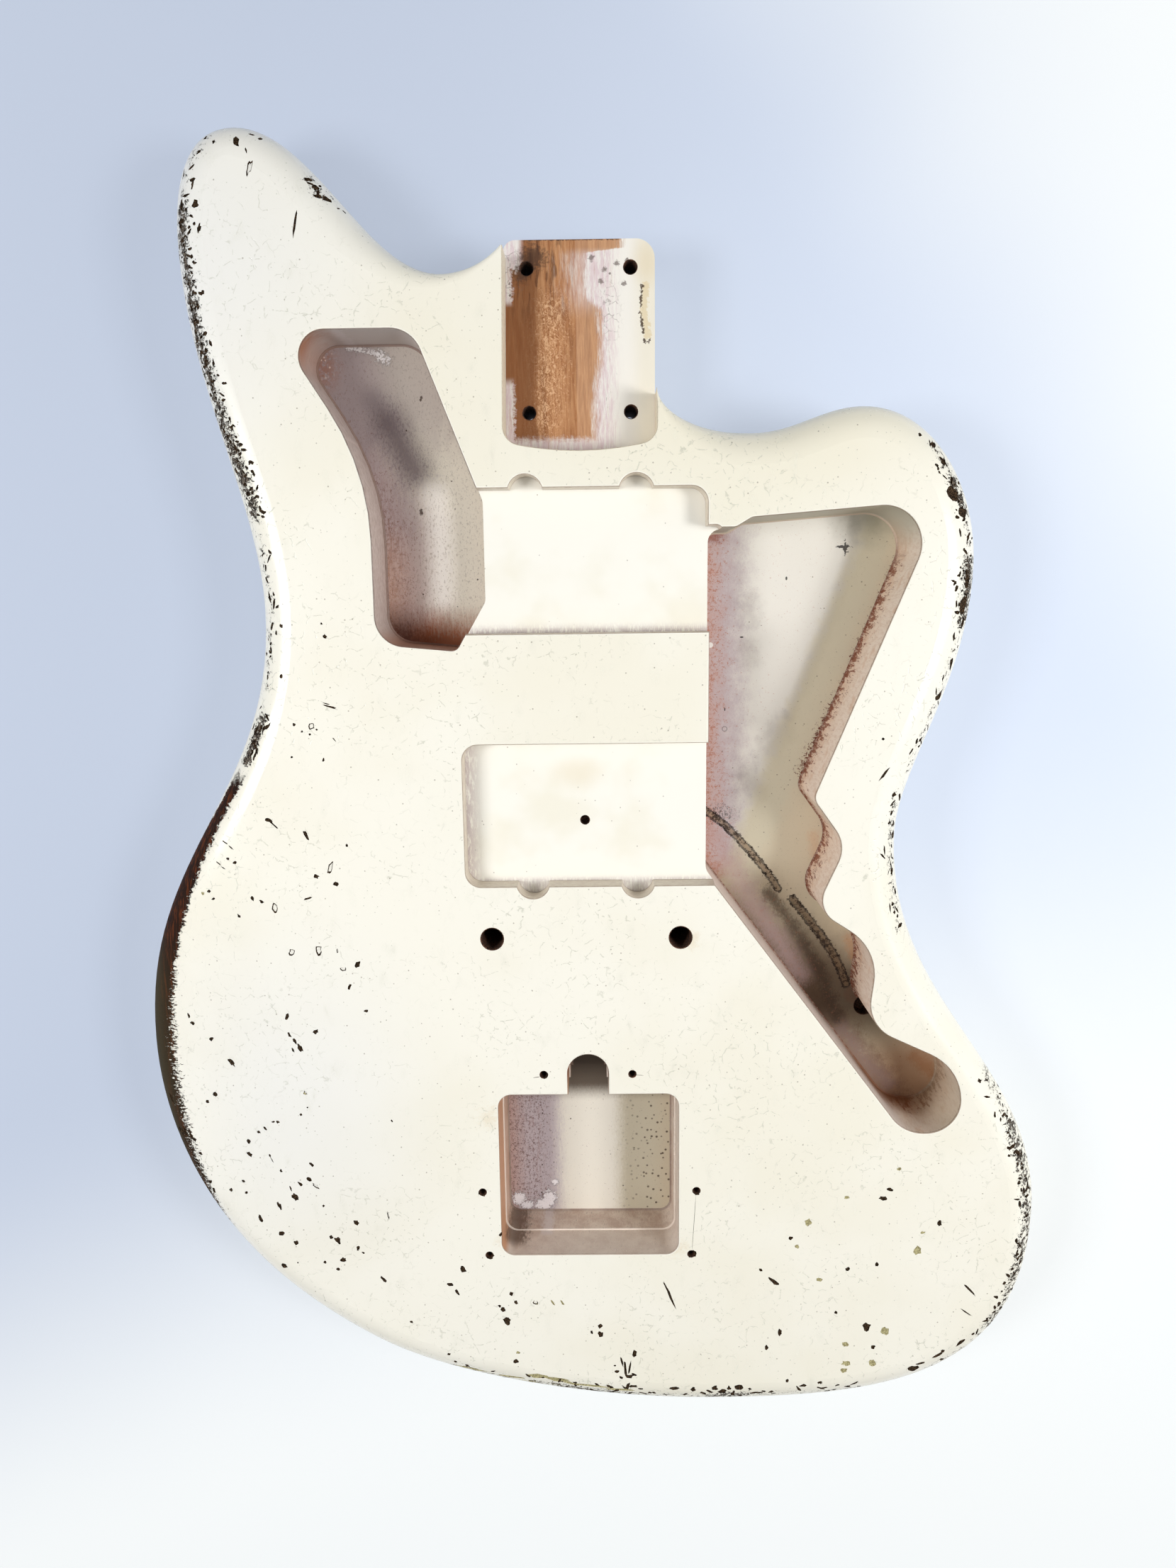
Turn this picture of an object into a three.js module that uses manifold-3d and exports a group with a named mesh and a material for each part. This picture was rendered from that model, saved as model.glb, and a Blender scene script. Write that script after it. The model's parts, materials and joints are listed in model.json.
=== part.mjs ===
// The bare wooden body of a solid electric guitar with an offset waist.
// Four boards are glued edge to edge into one blank, and the blank is then sawn to its
// outline, rounded over along both edges, contoured for the arm and the ribs, and routed
// from the face for the neck, two pickups, two sets of controls, the bridge and the tremolo.
// Lengths are millimetres. +Z comes out of the face, +Y points to the neck and +X to the
// treble side. The origin is on the back, below the midpoint between the bridge-post holes.
import * as THREE from 'three';
import { mergeVertices } from 'three/addons/utils/BufferGeometryUtils.js';
import Module from 'manifold-3d';

const wasm = await Module();
wasm.setup();

// The blank. The tail and the pocket's end are measured from the line through the bridge
// posts, and the horn rises above the pocket's end.
const BODY_WIDTH = 364.3;
const BODY_THICKNESS = 44.45;
const TAIL_REACH = 209;
const POCKET_REACH = 184.2;
const HORN_RISE = 113.3;
const BOARD_WIDTH = 84;
const MIDDLE_JOINT_OFFSET = 1.2;

// Rounded edges: the full radius fades out along the cutaways towards the neck.
const EDGE_RADIUS = 12.7;
const NECK_EDGE_RADIUS = 1.2;
const TREBLE_FADE_LENGTH = 36;
const BASS_FADE_LENGTH = 62;

// Contours on the bass side, measured down from the face or up from the back
const ARM_CONTOUR_DEPTH = 10;
const ARM_CONTOUR_WIDTH = 58;
const ARM_CONTOUR_LENGTH = 255;
const ARM_CONTOUR_TAIL_INSET = 34;
const RIB_CONTOUR_DEPTH = 14;
const RIB_CONTOUR_WIDTH = 66;
const RIB_CONTOUR_LENGTH = 190;
const RIB_CONTOUR_TAIL_INSET = 232;

// Neck pocket and its tongue
const POCKET_WIDTH = 56;
const POCKET_LENGTH = 76.2;
const POCKET_DEPTH = 15.9;
const POCKET_END_BOW = 3.4;
const POCKET_CORNER_RADIUS = 6.5;
const POCKET_BASS_TAPER = 1.4;
const POCKET_BASS_WALL = 1;
const TREBLE_WALL_LENGTH = 21.8;
const BASS_WALL_LENGTH = 70;
const TONGUE_TREBLE_CORNER = 7;
const TONGUE_BASS_CORNER = 4.4;
const BOLT_SPACING_ACROSS = 38.1;
const BOLT_SPACING_ALONG = 50.8;
const BOLT_HOLE_DIAMETER = 4.8;
const BOLT_INSET = 15.6;

// Pickup routs
const PICKUP_ROUT_DEPTH = 9.5;
const PICKUP_ROUT_HALF_SPAN = 46.5;
const PICKUP_CORNER_RADIUS = 6;
const NECK_ROUT_REACH = 118.4;
const NECK_ROUT_WIDTH = 52.8;
const BRIDGE_ROUT_REACH = 21;
const BRIDGE_ROUT_WIDTH = 55.6;
const NOTCH_SPACING = 40.8;
const NOTCH_RADIUS = 6.35;
const NOTCH_RISE = 4.8;
const LINK_INSET = 14;
const LINK_REACH = 5.8;
const LINK_CORNER_RADIUS = 3;
const LOCATOR_HOLE_DIAMETER = 3.5;
const LOCATOR_HOLE_DEPTH = 4;
const LOCATOR_HOLE_REACH = 45.4;

// Rhythm-circuit cavity
const RHYTHM_DEPTH = 25.4;
const RHYTHM_INNER_REACH = 36.8;
const RHYTHM_WIDTH = 71.1;
const RHYTHM_LENGTH = 114.5;
const RHYTHM_REACH = 112.4;

// Control cavity
const CONTROL_DEPTH = 31.75;
const CONTROL_INNER_REACH = 47.4;
const CONTROL_WIDTH = 101.6;
const CONTROL_LENGTH = 248;
const CONTROL_TAIL_REACH = 83.1;
const FLOOR_HOLE_DIAMETER = 8;
const FLOOR_HOLE_DEPTH = 6;
const FLOOR_HOLE_ACROSS = 117.2;
const FLOOR_HOLE_TAIL_REACH = 41;

// Bridge and tremolo
const POST_SPACING = 73.8;
const POST_HOLE_DIAMETER = 8.6;
const POST_HOLE_DEPTH = 30;
const TREMOLO_WIDTH = 72.4;
const TREMOLO_LENGTH = 70.3;
const TREMOLO_TAIL_REACH = 65.5;
const TREMOLO_DEPTH = 31.75;
const TREMOLO_FIRST_PASS_DEPTH = 17.5;
const TREMOLO_PASS_STEP = 0.6;
const TREMOLO_CORNER_RADIUS = 5.2;
const SLOT_WIDTH = 16.2;
const SLOT_LENGTH = 17;
const PLATE_SCREW_SPACING = 87.3;
const PLATE_SCREW_LENGTH = 79.2;
const PLATE_SCREW_TAIL_REACH = 56.7;
const PLATE_SCREW_DIAMETER = 2.8;
const PLATE_SCREW_DEPTH = 19;

// How far a cutter runs past what it cuts
const OVERRUN = 2;

// Fineness of the faceted surfaces
const SEGMENTS_PER_CURVE = 11;
const SEGMENTS_PER_TONGUE_CORNER = 5;
const EDGE_STEPS = 4;
const CONTOUR_STEPS = 4;
const CORNER_STEP_DEGREES = 15;
const POCKET_BOW_STEPS = 8;
const TONGUE_SIDE_STEPS = 3;
const SCREW_HOLE_SIDES = 12;
const POST_HOLE_SIDES = 24;

// How a contour's depth and width grow from its ends, and how its slope starts
const CONTOUR_SLOPE_POWER = 1.6;
const CONTOUR_WIDTH_POWER = 0.5;
const CONTOUR_RIM = 1.5;
const TILT_PASSES = 20;

// Stations of the outline, counter-clockwise from the tail. "across" is a share of the body's
// width from the centreline. "along" is a share of the stretch from the tail to the pocket's
// end, and "rise" a share of the stretch from there to the tip of the horn. Handles are
// shares of the same stretch, and headings are degrees.
const tailShares = { across: 0.1318, along: 0, heading: 0, before: 0.108, after: 0.169 };
const trebleLowerShares = [
  { across: 0.5068, along: 0.2212, heading: 90, before: 0.21, after: 0.162 },
  { across: 0.3343, along: 0.6269, heading: 90, before: 0.178, after: 0.07 },
  { across: 0.4057, along: 0.8927, heading: 90, before: 0.117, after: 0.072 },
];
const trebleUpperShares = [
  { across: 0.2869, rise: 0.1394, heading: 180, before: 0.232, after: 0.134 },
  { across: 0.1735, rise: 0.0594, heading: 180, before: 0.148, after: 0.206 },
];
const bassUpperShares = [
  { across: -0.1315, rise: 0.5458, heading: 180, before: 0.08, after: 0.241 },
  { across: -0.3325, rise: 1, heading: 180, before: 0.241, after: 0.156 },
  { across: -0.3969, rise: 0.6616, heading: 270, before: 0.183, after: 0.434 },
];
const bassLowerShares = [
  { across: -0.3329, along: 0.8571, heading: 270, before: 0.103, after: 0.183 },
  { across: -0.4932, along: 0.4152, heading: 270, before: 0.195, after: 0.148 },
  { across: -0.2487, along: 0.0739, heading: 330, before: 0.143, after: 0.099 },
];
const trebleWallShares = { heading: 90, before: 0.067 };
const bassWallShares = { heading: 225, after: 0.058 };

// Corners of the routed outlines: shares across and along the rout, and a radius as a share
// of its width. The rhythm cavity is measured from its inner wall and its tail end.
const rhythmCornerShares = [
  { across: 1, along: 1, radius: 0.13 },
  { across: 0.323, along: 1, radius: 0.162 },
  { across: 0, along: 0.48, radius: 0.085 },
  { across: 0, along: 0.157, radius: 0.056 },
  { across: 0.148, along: 0, radius: 0.045 },
  { across: 0.57, along: 0.025, radius: 0.155 },
  { across: 0.568, along: 0.577, radius: 1.24 },
];
const controlCornerShares = [
  { across: 0, along: 0.965, radius: 0.049 },
  { across: 0.094, along: 0.965, radius: 0.04 },
  { across: 0.152, along: 0.979, radius: 0.04 },
  { across: 0.836, along: 1, radius: 0.138 },
  { across: 0.394, along: 0.555, radius: 0.049 },
  { across: 0.523, along: 0.481, radius: 0.125 },
  { across: 0.411, along: 0.378, radius: 0.103 },
  { across: 0.66, along: 0.312, radius: 0.216 },
  { across: 0.622, along: 0.184, radius: 0.157 },
  { across: 0.995, along: 0.112, radius: 0.22 },
  { across: 1.01, along: 0, radius: 0.131 },
  { across: 0.786, along: 0, radius: 0.157 },
  { across: 0, along: 0.435, radius: 0.059 },
];
const plateScrewShares = [
  { spacing: 0.407, along: 0 },
  { spacing: 1, along: 0.643 },
  { spacing: 0.954, along: 1 },
];

const LACQUER_COLOUR = 0xf3eedd;
const LACQUER_ROUGHNESS = 0.3;
const boardTints = [1, 0.995, 0.99, 0.985];

const smooth = (share) => {
  const held = THREE.MathUtils.clamp(share, 0, 1);
  return held * held * (3 - 2 * held);
};

// A closed three.js geometry as a solid that can be cut
const toSolid = (geometry) => {
  const bare = geometry.clone();
  bare.deleteAttribute('normal');
  bare.deleteAttribute('uv');
  const merged = mergeVertices(bare);
  return new wasm.Manifold(new wasm.Mesh({
    numProp: 3,
    vertProperties: new Float32Array(merged.attributes.position.array),
    triVerts: new Uint32Array(merged.index.array),
  }));
};

const toGeometry = (solid) => {
  const mesh = solid.getMesh();
  const geometry = new THREE.BufferGeometry();
  geometry.setAttribute('position', new THREE.BufferAttribute(mesh.vertProperties, 3));
  geometry.setIndex(new THREE.BufferAttribute(mesh.triVerts, 1));
  geometry.computeVertexNormals();
  return geometry;
};

// A straight-walled cutter that goes down from above the face, or right through
const prism = (points, depth) => {
  const geometry = new THREE.ExtrudeGeometry(new THREE.Shape(points), {
    depth: depth + OVERRUN,
    bevelEnabled: false,
  });
  geometry.translate(0, 0, BODY_THICKNESS - depth);
  return toSolid(geometry);
};

const circlePoints = (across, along, diameter, sides) => {
  const circle = new THREE.EllipseCurve(across, along, diameter / 2, diameter / 2);
  return circle.getPoints(sides).slice(1);
};

// A polygon whose corners are rounded, each by its own radius. Where two roundings need more
// than the edge between them, they share this much of it.
const roomShare = 0.98;
const corner = (x, y, radius = 0) => ({ at: new THREE.Vector2(x, y), radius });
const roundedPoints = (corners) => {
  const turns = corners.map(({ at, radius }, index) => {
    const back = corners.at(index - 1).at.clone().sub(at);
    const ahead = corners[(index + 1) % corners.length].at.clone().sub(at);
    const angle = Math.PI - Math.acos(back.dot(ahead) / (back.length() * ahead.length()));
    return { at, back, ahead, angle, reach: radius * Math.tan(angle / 2) };
  });
  return turns.flatMap(({ at, back, ahead, angle, reach }, index) => {
    if (reach === 0) {
      return [at];
    }
    const behind = back.length() / (reach + turns.at(index - 1).reach);
    const onward = ahead.length() / (reach + turns[(index + 1) % turns.length].reach);
    const held = reach * Math.min(1, roomShare * behind, roomShare * onward);
    const radius = held / Math.tan(angle / 2);
    const start = at.clone().addScaledVector(back.clone().normalize(), held);
    const side = Math.sign(back.x * ahead.y - back.y * ahead.x);
    const inward = new THREE.Vector2(-back.y, back.x).normalize().multiplyScalar(side);
    const centre = start.clone().addScaledVector(inward, radius);
    const steps = Math.ceil(THREE.MathUtils.radToDeg(angle) / CORNER_STEP_DEGREES);
    return Array.from({ length: steps + 1 }, (_, step) => (
      start.clone().rotateAround(centre, -side * angle * (step / steps))
    ));
  });
};

// The outline of the body as one smooth closed path
const halfPocket = POCKET_WIDTH / 2;
const pocketTopY = POCKET_REACH + POCKET_LENGTH;
const trebleWallTopY = POCKET_REACH + TREBLE_WALL_LENGTH;
const bassWallTopY = POCKET_REACH + BASS_WALL_LENGTH;
const bassWallX = POCKET_BASS_TAPER - halfPocket;
const bassSideX = bassWallX - POCKET_BASS_WALL;

const lowerStretch = TAIL_REACH + POCKET_REACH;
const station = (shares, y, stretch) => ({
  x: shares.across * BODY_WIDTH,
  y,
  heading: THREE.MathUtils.degToRad(shares.heading),
  before: shares.before * stretch,
  after: shares.after * stretch,
});
const lowerStation = (shares) => station(
  shares, shares.along * lowerStretch - TAIL_REACH, lowerStretch,
);
const upperStation = (shares) => station(
  shares, shares.rise * HORN_RISE + POCKET_REACH, HORN_RISE,
);

const outlineCurve = (from, to) => new THREE.CubicBezierCurve(
  new THREE.Vector2(from.x, from.y),
  new THREE.Vector2(
    from.x + from.after * Math.cos(from.heading),
    from.y + from.after * Math.sin(from.heading),
  ),
  new THREE.Vector2(
    to.x - to.before * Math.cos(to.heading),
    to.y - to.before * Math.sin(to.heading),
  ),
  new THREE.Vector2(to.x, to.y),
);

const tongueCorner = (x, y, radius, startAngle) => new THREE.EllipseCurve(
  x, y, radius, radius, startAngle, startAngle + Math.PI / 2,
);

const outlineCurves = () => {
  const trebleWall = {
    x: halfPocket,
    y: trebleWallTopY,
    heading: THREE.MathUtils.degToRad(trebleWallShares.heading),
    before: trebleWallShares.before * HORN_RISE,
  };
  const bassWall = {
    x: bassSideX,
    y: bassWallTopY,
    heading: THREE.MathUtils.degToRad(bassWallShares.heading),
    after: bassWallShares.after * HORN_RISE,
  };
  const tail = lowerStation(tailShares);
  const treble = [
    tail,
    ...trebleLowerShares.map(lowerStation),
    ...trebleUpperShares.map(upperStation),
    trebleWall,
  ];
  const bass = [
    bassWall,
    ...bassUpperShares.map(upperStation),
    ...bassLowerShares.map(lowerStation),
    tail,
  ];
  const curves = [];
  for (let index = 1; index < treble.length; index += 1) {
    curves.push({ curve: outlineCurve(treble[index - 1], treble[index]), steps: SEGMENTS_PER_CURVE });
  }
  const trebleCentre = new THREE.Vector2(
    halfPocket - TONGUE_TREBLE_CORNER,
    pocketTopY - TONGUE_TREBLE_CORNER,
  );
  const bassCentre = new THREE.Vector2(
    bassSideX + TONGUE_BASS_CORNER,
    pocketTopY - TONGUE_BASS_CORNER,
  );
  const tongue = [
    {
      curve: new THREE.LineCurve(
        new THREE.Vector2(trebleWall.x, trebleWall.y),
        new THREE.Vector2(halfPocket, trebleCentre.y),
      ),
      steps: TONGUE_SIDE_STEPS,
    },
    {
      curve: tongueCorner(trebleCentre.x, trebleCentre.y, TONGUE_TREBLE_CORNER, 0),
      steps: SEGMENTS_PER_TONGUE_CORNER,
    },
    {
      curve: new THREE.LineCurve(
        new THREE.Vector2(trebleCentre.x, pocketTopY),
        new THREE.Vector2(bassCentre.x, pocketTopY),
      ),
      steps: TONGUE_SIDE_STEPS,
    },
    {
      curve: tongueCorner(bassCentre.x, bassCentre.y, TONGUE_BASS_CORNER, Math.PI / 2),
      steps: SEGMENTS_PER_TONGUE_CORNER,
    },
    {
      curve: new THREE.LineCurve(
        new THREE.Vector2(bassSideX, bassCentre.y),
        new THREE.Vector2(bassWall.x, bassWall.y),
      ),
      steps: 1,
    },
  ].map((piece) => ({ ...piece, onTongue: true }));
  curves.push(...tongue);
  for (let index = 1; index < bass.length; index += 1) {
    curves.push({ curve: outlineCurve(bass[index - 1], bass[index]), steps: SEGMENTS_PER_CURVE });
  }
  return curves;
};

// Points round the outline, each with its inward normal and its distance along the path
const outlineSamples = () => {
  const samples = [];
  let travelled = 0;
  outlineCurves().forEach(({ curve, steps, onTongue }) => {
    const length = curve.getLength();
    for (let step = 0; step < steps; step += 1) {
      const share = step / steps;
      const point = curve.getPoint(share);
      const tangent = curve.getTangent(share);
      samples.push({
        point,
        inward: new THREE.Vector2(-tangent.y, tangent.x),
        travelled: travelled + length * share,
        onTongue: Boolean(onTongue),
      });
    }
    travelled += length;
  });
  return samples;
};

// The edge radius at each sample: small along the tongue, growing away from it
const edgeRadius = (sample, tongueStart, tongueEnd) => {
  let grown = 0;
  if (sample.travelled < tongueStart) {
    grown = smooth((tongueStart - sample.travelled) / TREBLE_FADE_LENGTH);
  } else if (sample.travelled > tongueEnd) {
    grown = smooth((sample.travelled - tongueEnd) / BASS_FADE_LENGTH);
  }
  return THREE.MathUtils.lerp(NECK_EDGE_RADIUS, EDGE_RADIUS, grown);
};

// A contour grows from nothing at its two ends to its full depth half way between them.
const armContour = {
  depth: ARM_CONTOUR_DEPTH,
  width: ARM_CONTOUR_WIDTH,
  low: ARM_CONTOUR_TAIL_INSET - TAIL_REACH,
  length: ARM_CONTOUR_LENGTH,
};
const ribContour = {
  depth: RIB_CONTOUR_DEPTH,
  width: RIB_CONTOUR_WIDTH,
  low: RIB_CONTOUR_TAIL_INSET - TAIL_REACH,
  length: RIB_CONTOUR_LENGTH,
};
const contourGrowth = (contour, point) => {
  if (point.x > bassSideX) {
    return 0;
  }
  const share = THREE.MathUtils.clamp((point.y - contour.low) / contour.length, 0, 1);
  return Math.sin(Math.PI * share) ** 2;
};

// One side of the blank's rim seen in section: from the straight side over the rounded edge
// and along the contour's slope. Each entry is an inset from the outline and a drop below
// the flat face.
const rimProfile = (radius, contour, growth) => {
  const depth = contour.depth * growth;
  const width = contour.width * growth ** CONTOUR_WIDTH_POWER;
  const drop = (inset) => (inset >= width ? 0 : depth * (1 - inset / width) ** CONTOUR_SLOPE_POWER);
  const slope = (inset) => (inset >= width
    ? 0
    : (CONTOUR_SLOPE_POWER * depth * (1 - inset / width) ** (CONTOUR_SLOPE_POWER - 1)) / width);
  let tilt = 0;
  for (let pass = 0; pass < TILT_PASSES; pass += 1) {
    tilt = Math.atan(slope(radius * (1 - Math.sin(tilt))));
  }
  const edgeInset = radius * (1 - Math.sin(tilt));
  const centreDrop = drop(edgeInset) + radius * Math.cos(tilt);
  const profile = [];
  for (let step = 0; step <= EDGE_STEPS; step += 1) {
    const angle = (Math.PI / 2 - tilt) * (step / EDGE_STEPS);
    profile.push({
      inset: radius * (1 - Math.cos(angle)),
      drop: centreDrop - radius * Math.sin(angle),
    });
  }
  const lastInset = Math.max(width, edgeInset + CONTOUR_RIM);
  for (let step = 1; step <= CONTOUR_STEPS; step += 1) {
    const inset = THREE.MathUtils.lerp(edgeInset, lastInset, step / CONTOUR_STEPS);
    profile.push({ inset, drop: drop(inset) });
  }
  return profile;
};

// The shaped blank before it is routed
const blankSolid = () => {
  const samples = outlineSamples();
  const onTongue = samples.filter((sample) => sample.onTongue);
  const tongueStart = onTongue[0].travelled;
  const tongueEnd = onTongue[onTongue.length - 1].travelled;
  const count = samples.length;
  const columns = samples.map((sample) => {
    const radius = edgeRadius(sample, tongueStart, tongueEnd);
    const back = rimProfile(radius, ribContour, contourGrowth(ribContour, sample.point));
    const face = rimProfile(radius, armContour, contourGrowth(armContour, sample.point));
    const place = (inset, z) => {
      const at = sample.point.clone().addScaledVector(sample.inward, inset);
      return new THREE.Vector3(at.x, at.y, z);
    };
    return [
      ...back.reverse().map((entry) => place(entry.inset, entry.drop)),
      ...face.map((entry) => place(entry.inset, BODY_THICKNESS - entry.drop)),
    ];
  });
  const rings = columns[0].length;
  const positions = [];
  for (let ring = 0; ring < rings; ring += 1) {
    columns.forEach((column) => positions.push(...column[ring].toArray()));
  }
  const index = [];
  for (let ring = 1; ring < rings; ring += 1) {
    for (let step = 0; step < count; step += 1) {
      const next = (step + 1) % count;
      const low = (ring - 1) * count;
      const high = ring * count;
      index.push(low + step, low + next, high + next);
      index.push(low + step, high + next, high + step);
    }
  }
  const flatRing = (ring) => columns.map((column) => new THREE.Vector2(column[ring].x, column[ring].y));
  const top = (rings - 1) * count;
  THREE.ShapeUtils.triangulateShape(flatRing(0), []).forEach(([a, b, c]) => index.push(a, c, b));
  THREE.ShapeUtils.triangulateShape(flatRing(rings - 1), []).forEach(([a, b, c]) => {
    index.push(top + a, top + b, top + c);
  });
  const geometry = new THREE.BufferGeometry();
  geometry.setAttribute('position', new THREE.Float32BufferAttribute(positions, 3));
  geometry.setIndex(index);
  return toSolid(geometry);
};

// Neck pocket: its walls stop where the cutaways begin, and its end is bowed.
const pocketCutter = () => {
  const end = [];
  for (let step = 0; step <= POCKET_BOW_STEPS; step += 1) {
    const share = (2 * step) / POCKET_BOW_STEPS - 1;
    const atSide = step === 0 || step === POCKET_BOW_STEPS;
    const radius = atSide ? POCKET_CORNER_RADIUS : 0;
    end.push(corner(share * halfPocket, POCKET_REACH + POCKET_END_BOW * share ** 2, radius));
  }
  const openX = halfPocket + OVERRUN;
  const openY = pocketTopY + OVERRUN;
  return prism(roundedPoints([
    corner(-openX, openY),
    corner(-openX, bassWallTopY),
    corner(bassWallX, bassWallTopY),
    ...end,
    corner(halfPocket, trebleWallTopY),
    corner(openX, trebleWallTopY),
    corner(openX, openY),
  ]), POCKET_DEPTH);
};

const boltHoleCutters = () => {
  const firstRow = POCKET_REACH + BOLT_INSET;
  return [-1, 1].flatMap((side) => [0, 1].map((row) => prism(
    circlePoints(
      (side * BOLT_SPACING_ACROSS) / 2,
      firstRow + row * BOLT_SPACING_ALONG,
      BOLT_HOLE_DIAMETER,
      SCREW_HOLE_SIDES,
    ),
    BODY_THICKNESS + OVERRUN,
  )));
};

// Two half-round notches along one long side of a pickup rout
const notchCutters = (edgeY, outward) => [-1, 1].map((side) => prism(
  circlePoints(
    (side * NOTCH_SPACING) / 2,
    edgeY + outward * (NOTCH_RISE - NOTCH_RADIUS),
    2 * NOTCH_RADIUS,
    POST_HOLE_SIDES,
  ),
  PICKUP_ROUT_DEPTH,
));

// The neck pickup's rout opens into both cavities beside it, as far in as this share of the
// rhythm cavity's width.
const rhythmMeetShare = 0.2;
const neckPickupCutters = () => {
  const near = NECK_ROUT_REACH;
  const far = NECK_ROUT_REACH + NECK_ROUT_WIDTH;
  const bassEnd = -(RHYTHM_INNER_REACH + RHYTHM_WIDTH * rhythmMeetShare);
  const linkX = PICKUP_ROUT_HALF_SPAN + LINK_REACH;
  const rout = prism(roundedPoints([
    corner(bassEnd, near),
    corner(linkX, near),
    corner(linkX, far - LINK_INSET, LINK_CORNER_RADIUS),
    corner(PICKUP_ROUT_HALF_SPAN, far - LINK_INSET),
    corner(PICKUP_ROUT_HALF_SPAN, far, PICKUP_CORNER_RADIUS),
    corner(bassEnd, far),
  ]), PICKUP_ROUT_DEPTH);
  return [rout, ...notchCutters(far, 1)];
};

// The bridge pickup's rout opens into the control cavity only.
const bridgePickupCutters = () => {
  const near = BRIDGE_ROUT_REACH;
  const far = BRIDGE_ROUT_REACH + BRIDGE_ROUT_WIDTH;
  const linkX = CONTROL_INNER_REACH + LINK_REACH;
  const rout = prism(roundedPoints([
    corner(-PICKUP_ROUT_HALF_SPAN, near, PICKUP_CORNER_RADIUS),
    corner(linkX, near),
    corner(linkX, far),
    corner(-PICKUP_ROUT_HALF_SPAN, far, PICKUP_CORNER_RADIUS),
  ]), PICKUP_ROUT_DEPTH);
  const locator = prism(
    circlePoints(0, LOCATOR_HOLE_REACH, LOCATOR_HOLE_DIAMETER, SCREW_HOLE_SIDES),
    PICKUP_ROUT_DEPTH + LOCATOR_HOLE_DEPTH,
  );
  return [rout, ...notchCutters(near, -1), locator];
};

// A drilled hole that starts at a cavity's floor
const floorHole = (x, y, diameter, topZ, depth) => {
  const geometry = new THREE.ExtrudeGeometry(
    new THREE.Shape(circlePoints(x, y, diameter, POST_HOLE_SIDES)),
    { depth: depth + OVERRUN, bevelEnabled: false },
  );
  geometry.translate(0, 0, topZ - depth);
  return toSolid(geometry);
};

const shareCorners = (shares, originX, sideX, originY, width, length) => shares.map((entry) => corner(
  originX + sideX * entry.across * width,
  originY + entry.along * length,
  entry.radius * width,
));

const rhythmCutter = () => prism(roundedPoints(shareCorners(
  rhythmCornerShares, -RHYTHM_INNER_REACH, -1, RHYTHM_REACH, RHYTHM_WIDTH, RHYTHM_LENGTH,
)), RHYTHM_DEPTH);

const controlCutters = () => [
  prism(roundedPoints(shareCorners(
    controlCornerShares, CONTROL_INNER_REACH, 1, -CONTROL_TAIL_REACH, CONTROL_WIDTH, CONTROL_LENGTH,
  )), CONTROL_DEPTH),
  floorHole(
    FLOOR_HOLE_ACROSS,
    -FLOOR_HOLE_TAIL_REACH,
    FLOOR_HOLE_DIAMETER,
    BODY_THICKNESS - CONTROL_DEPTH,
    FLOOR_HOLE_DEPTH,
  ),
];

const postHoleCutters = () => [-1, 1].map((side) => prism(
  circlePoints((side * POST_SPACING) / 2, 0, POST_HOLE_DIAMETER, POST_HOLE_SIDES),
  POST_HOLE_DEPTH,
));

// The tremolo's rout is cut in two passes, the deeper one a little smaller.
const tremoloCutters = () => {
  const farY = -TREMOLO_TAIL_REACH;
  const nearY = farY - TREMOLO_LENGTH;
  const pass = (step, depth) => {
    const halfWidth = TREMOLO_WIDTH / 2 - step;
    const halfSlot = SLOT_WIDTH / 2 - step;
    const slotY = farY + SLOT_LENGTH - step;
    return prism(roundedPoints([
      corner(-halfWidth, nearY + step, TREMOLO_CORNER_RADIUS),
      corner(halfWidth, nearY + step, TREMOLO_CORNER_RADIUS),
      corner(halfWidth, farY - step, TREMOLO_CORNER_RADIUS),
      corner(halfSlot, farY - step),
      corner(halfSlot, slotY, halfSlot),
      corner(-halfSlot, slotY, halfSlot),
      corner(-halfSlot, farY - step),
      corner(-halfWidth, farY - step, TREMOLO_CORNER_RADIUS),
    ]), depth);
  };
  const screws = plateScrewShares.flatMap((row) => [-1, 1].map((side) => prism(
    circlePoints(
      (side * row.spacing * PLATE_SCREW_SPACING) / 2,
      -(PLATE_SCREW_TAIL_REACH + row.along * PLATE_SCREW_LENGTH),
      PLATE_SCREW_DIAMETER,
      SCREW_HOLE_SIDES,
    ),
    PLATE_SCREW_DEPTH,
  )));
  return [
    pass(0, TREMOLO_FIRST_PASS_DEPTH),
    pass(TREMOLO_PASS_STEP, TREMOLO_DEPTH),
    ...screws,
  ];
};

// The blank with every rout and hole cut
const routedSolid = () => [
  pocketCutter(),
  ...boltHoleCutters(),
  rhythmCutter(),
  ...neckPickupCutters(),
  ...bridgePickupCutters(),
  ...controlCutters(),
  ...postHoleCutters(),
  ...tremoloCutters(),
].reduce((solid, cutter) => solid.subtract(cutter), blankSolid());

// Each board is the stretch of the routed body between two glue lines. The middle one lies
// just to the bass side of the centreline.
const boardNames = ['bass_outer_board', 'bass_inner_board', 'treble_inner_board', 'treble_outer_board'];
const boardSpan = (from, to) => {
  const length = 2 * (lowerStretch + HORN_RISE);
  const geometry = new THREE.BoxGeometry(to - from, length, BODY_THICKNESS + 2 * OVERRUN);
  geometry.translate((from + to) / 2, 0, BODY_THICKNESS / 2);
  return toSolid(geometry);
};

const body = routedSolid();
const glueLines = [-BODY_WIDTH, -BOARD_WIDTH, 0, BOARD_WIDTH, BODY_WIDTH].map(
  (across) => across - MIDDLE_JOINT_OFFSET,
);

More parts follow.
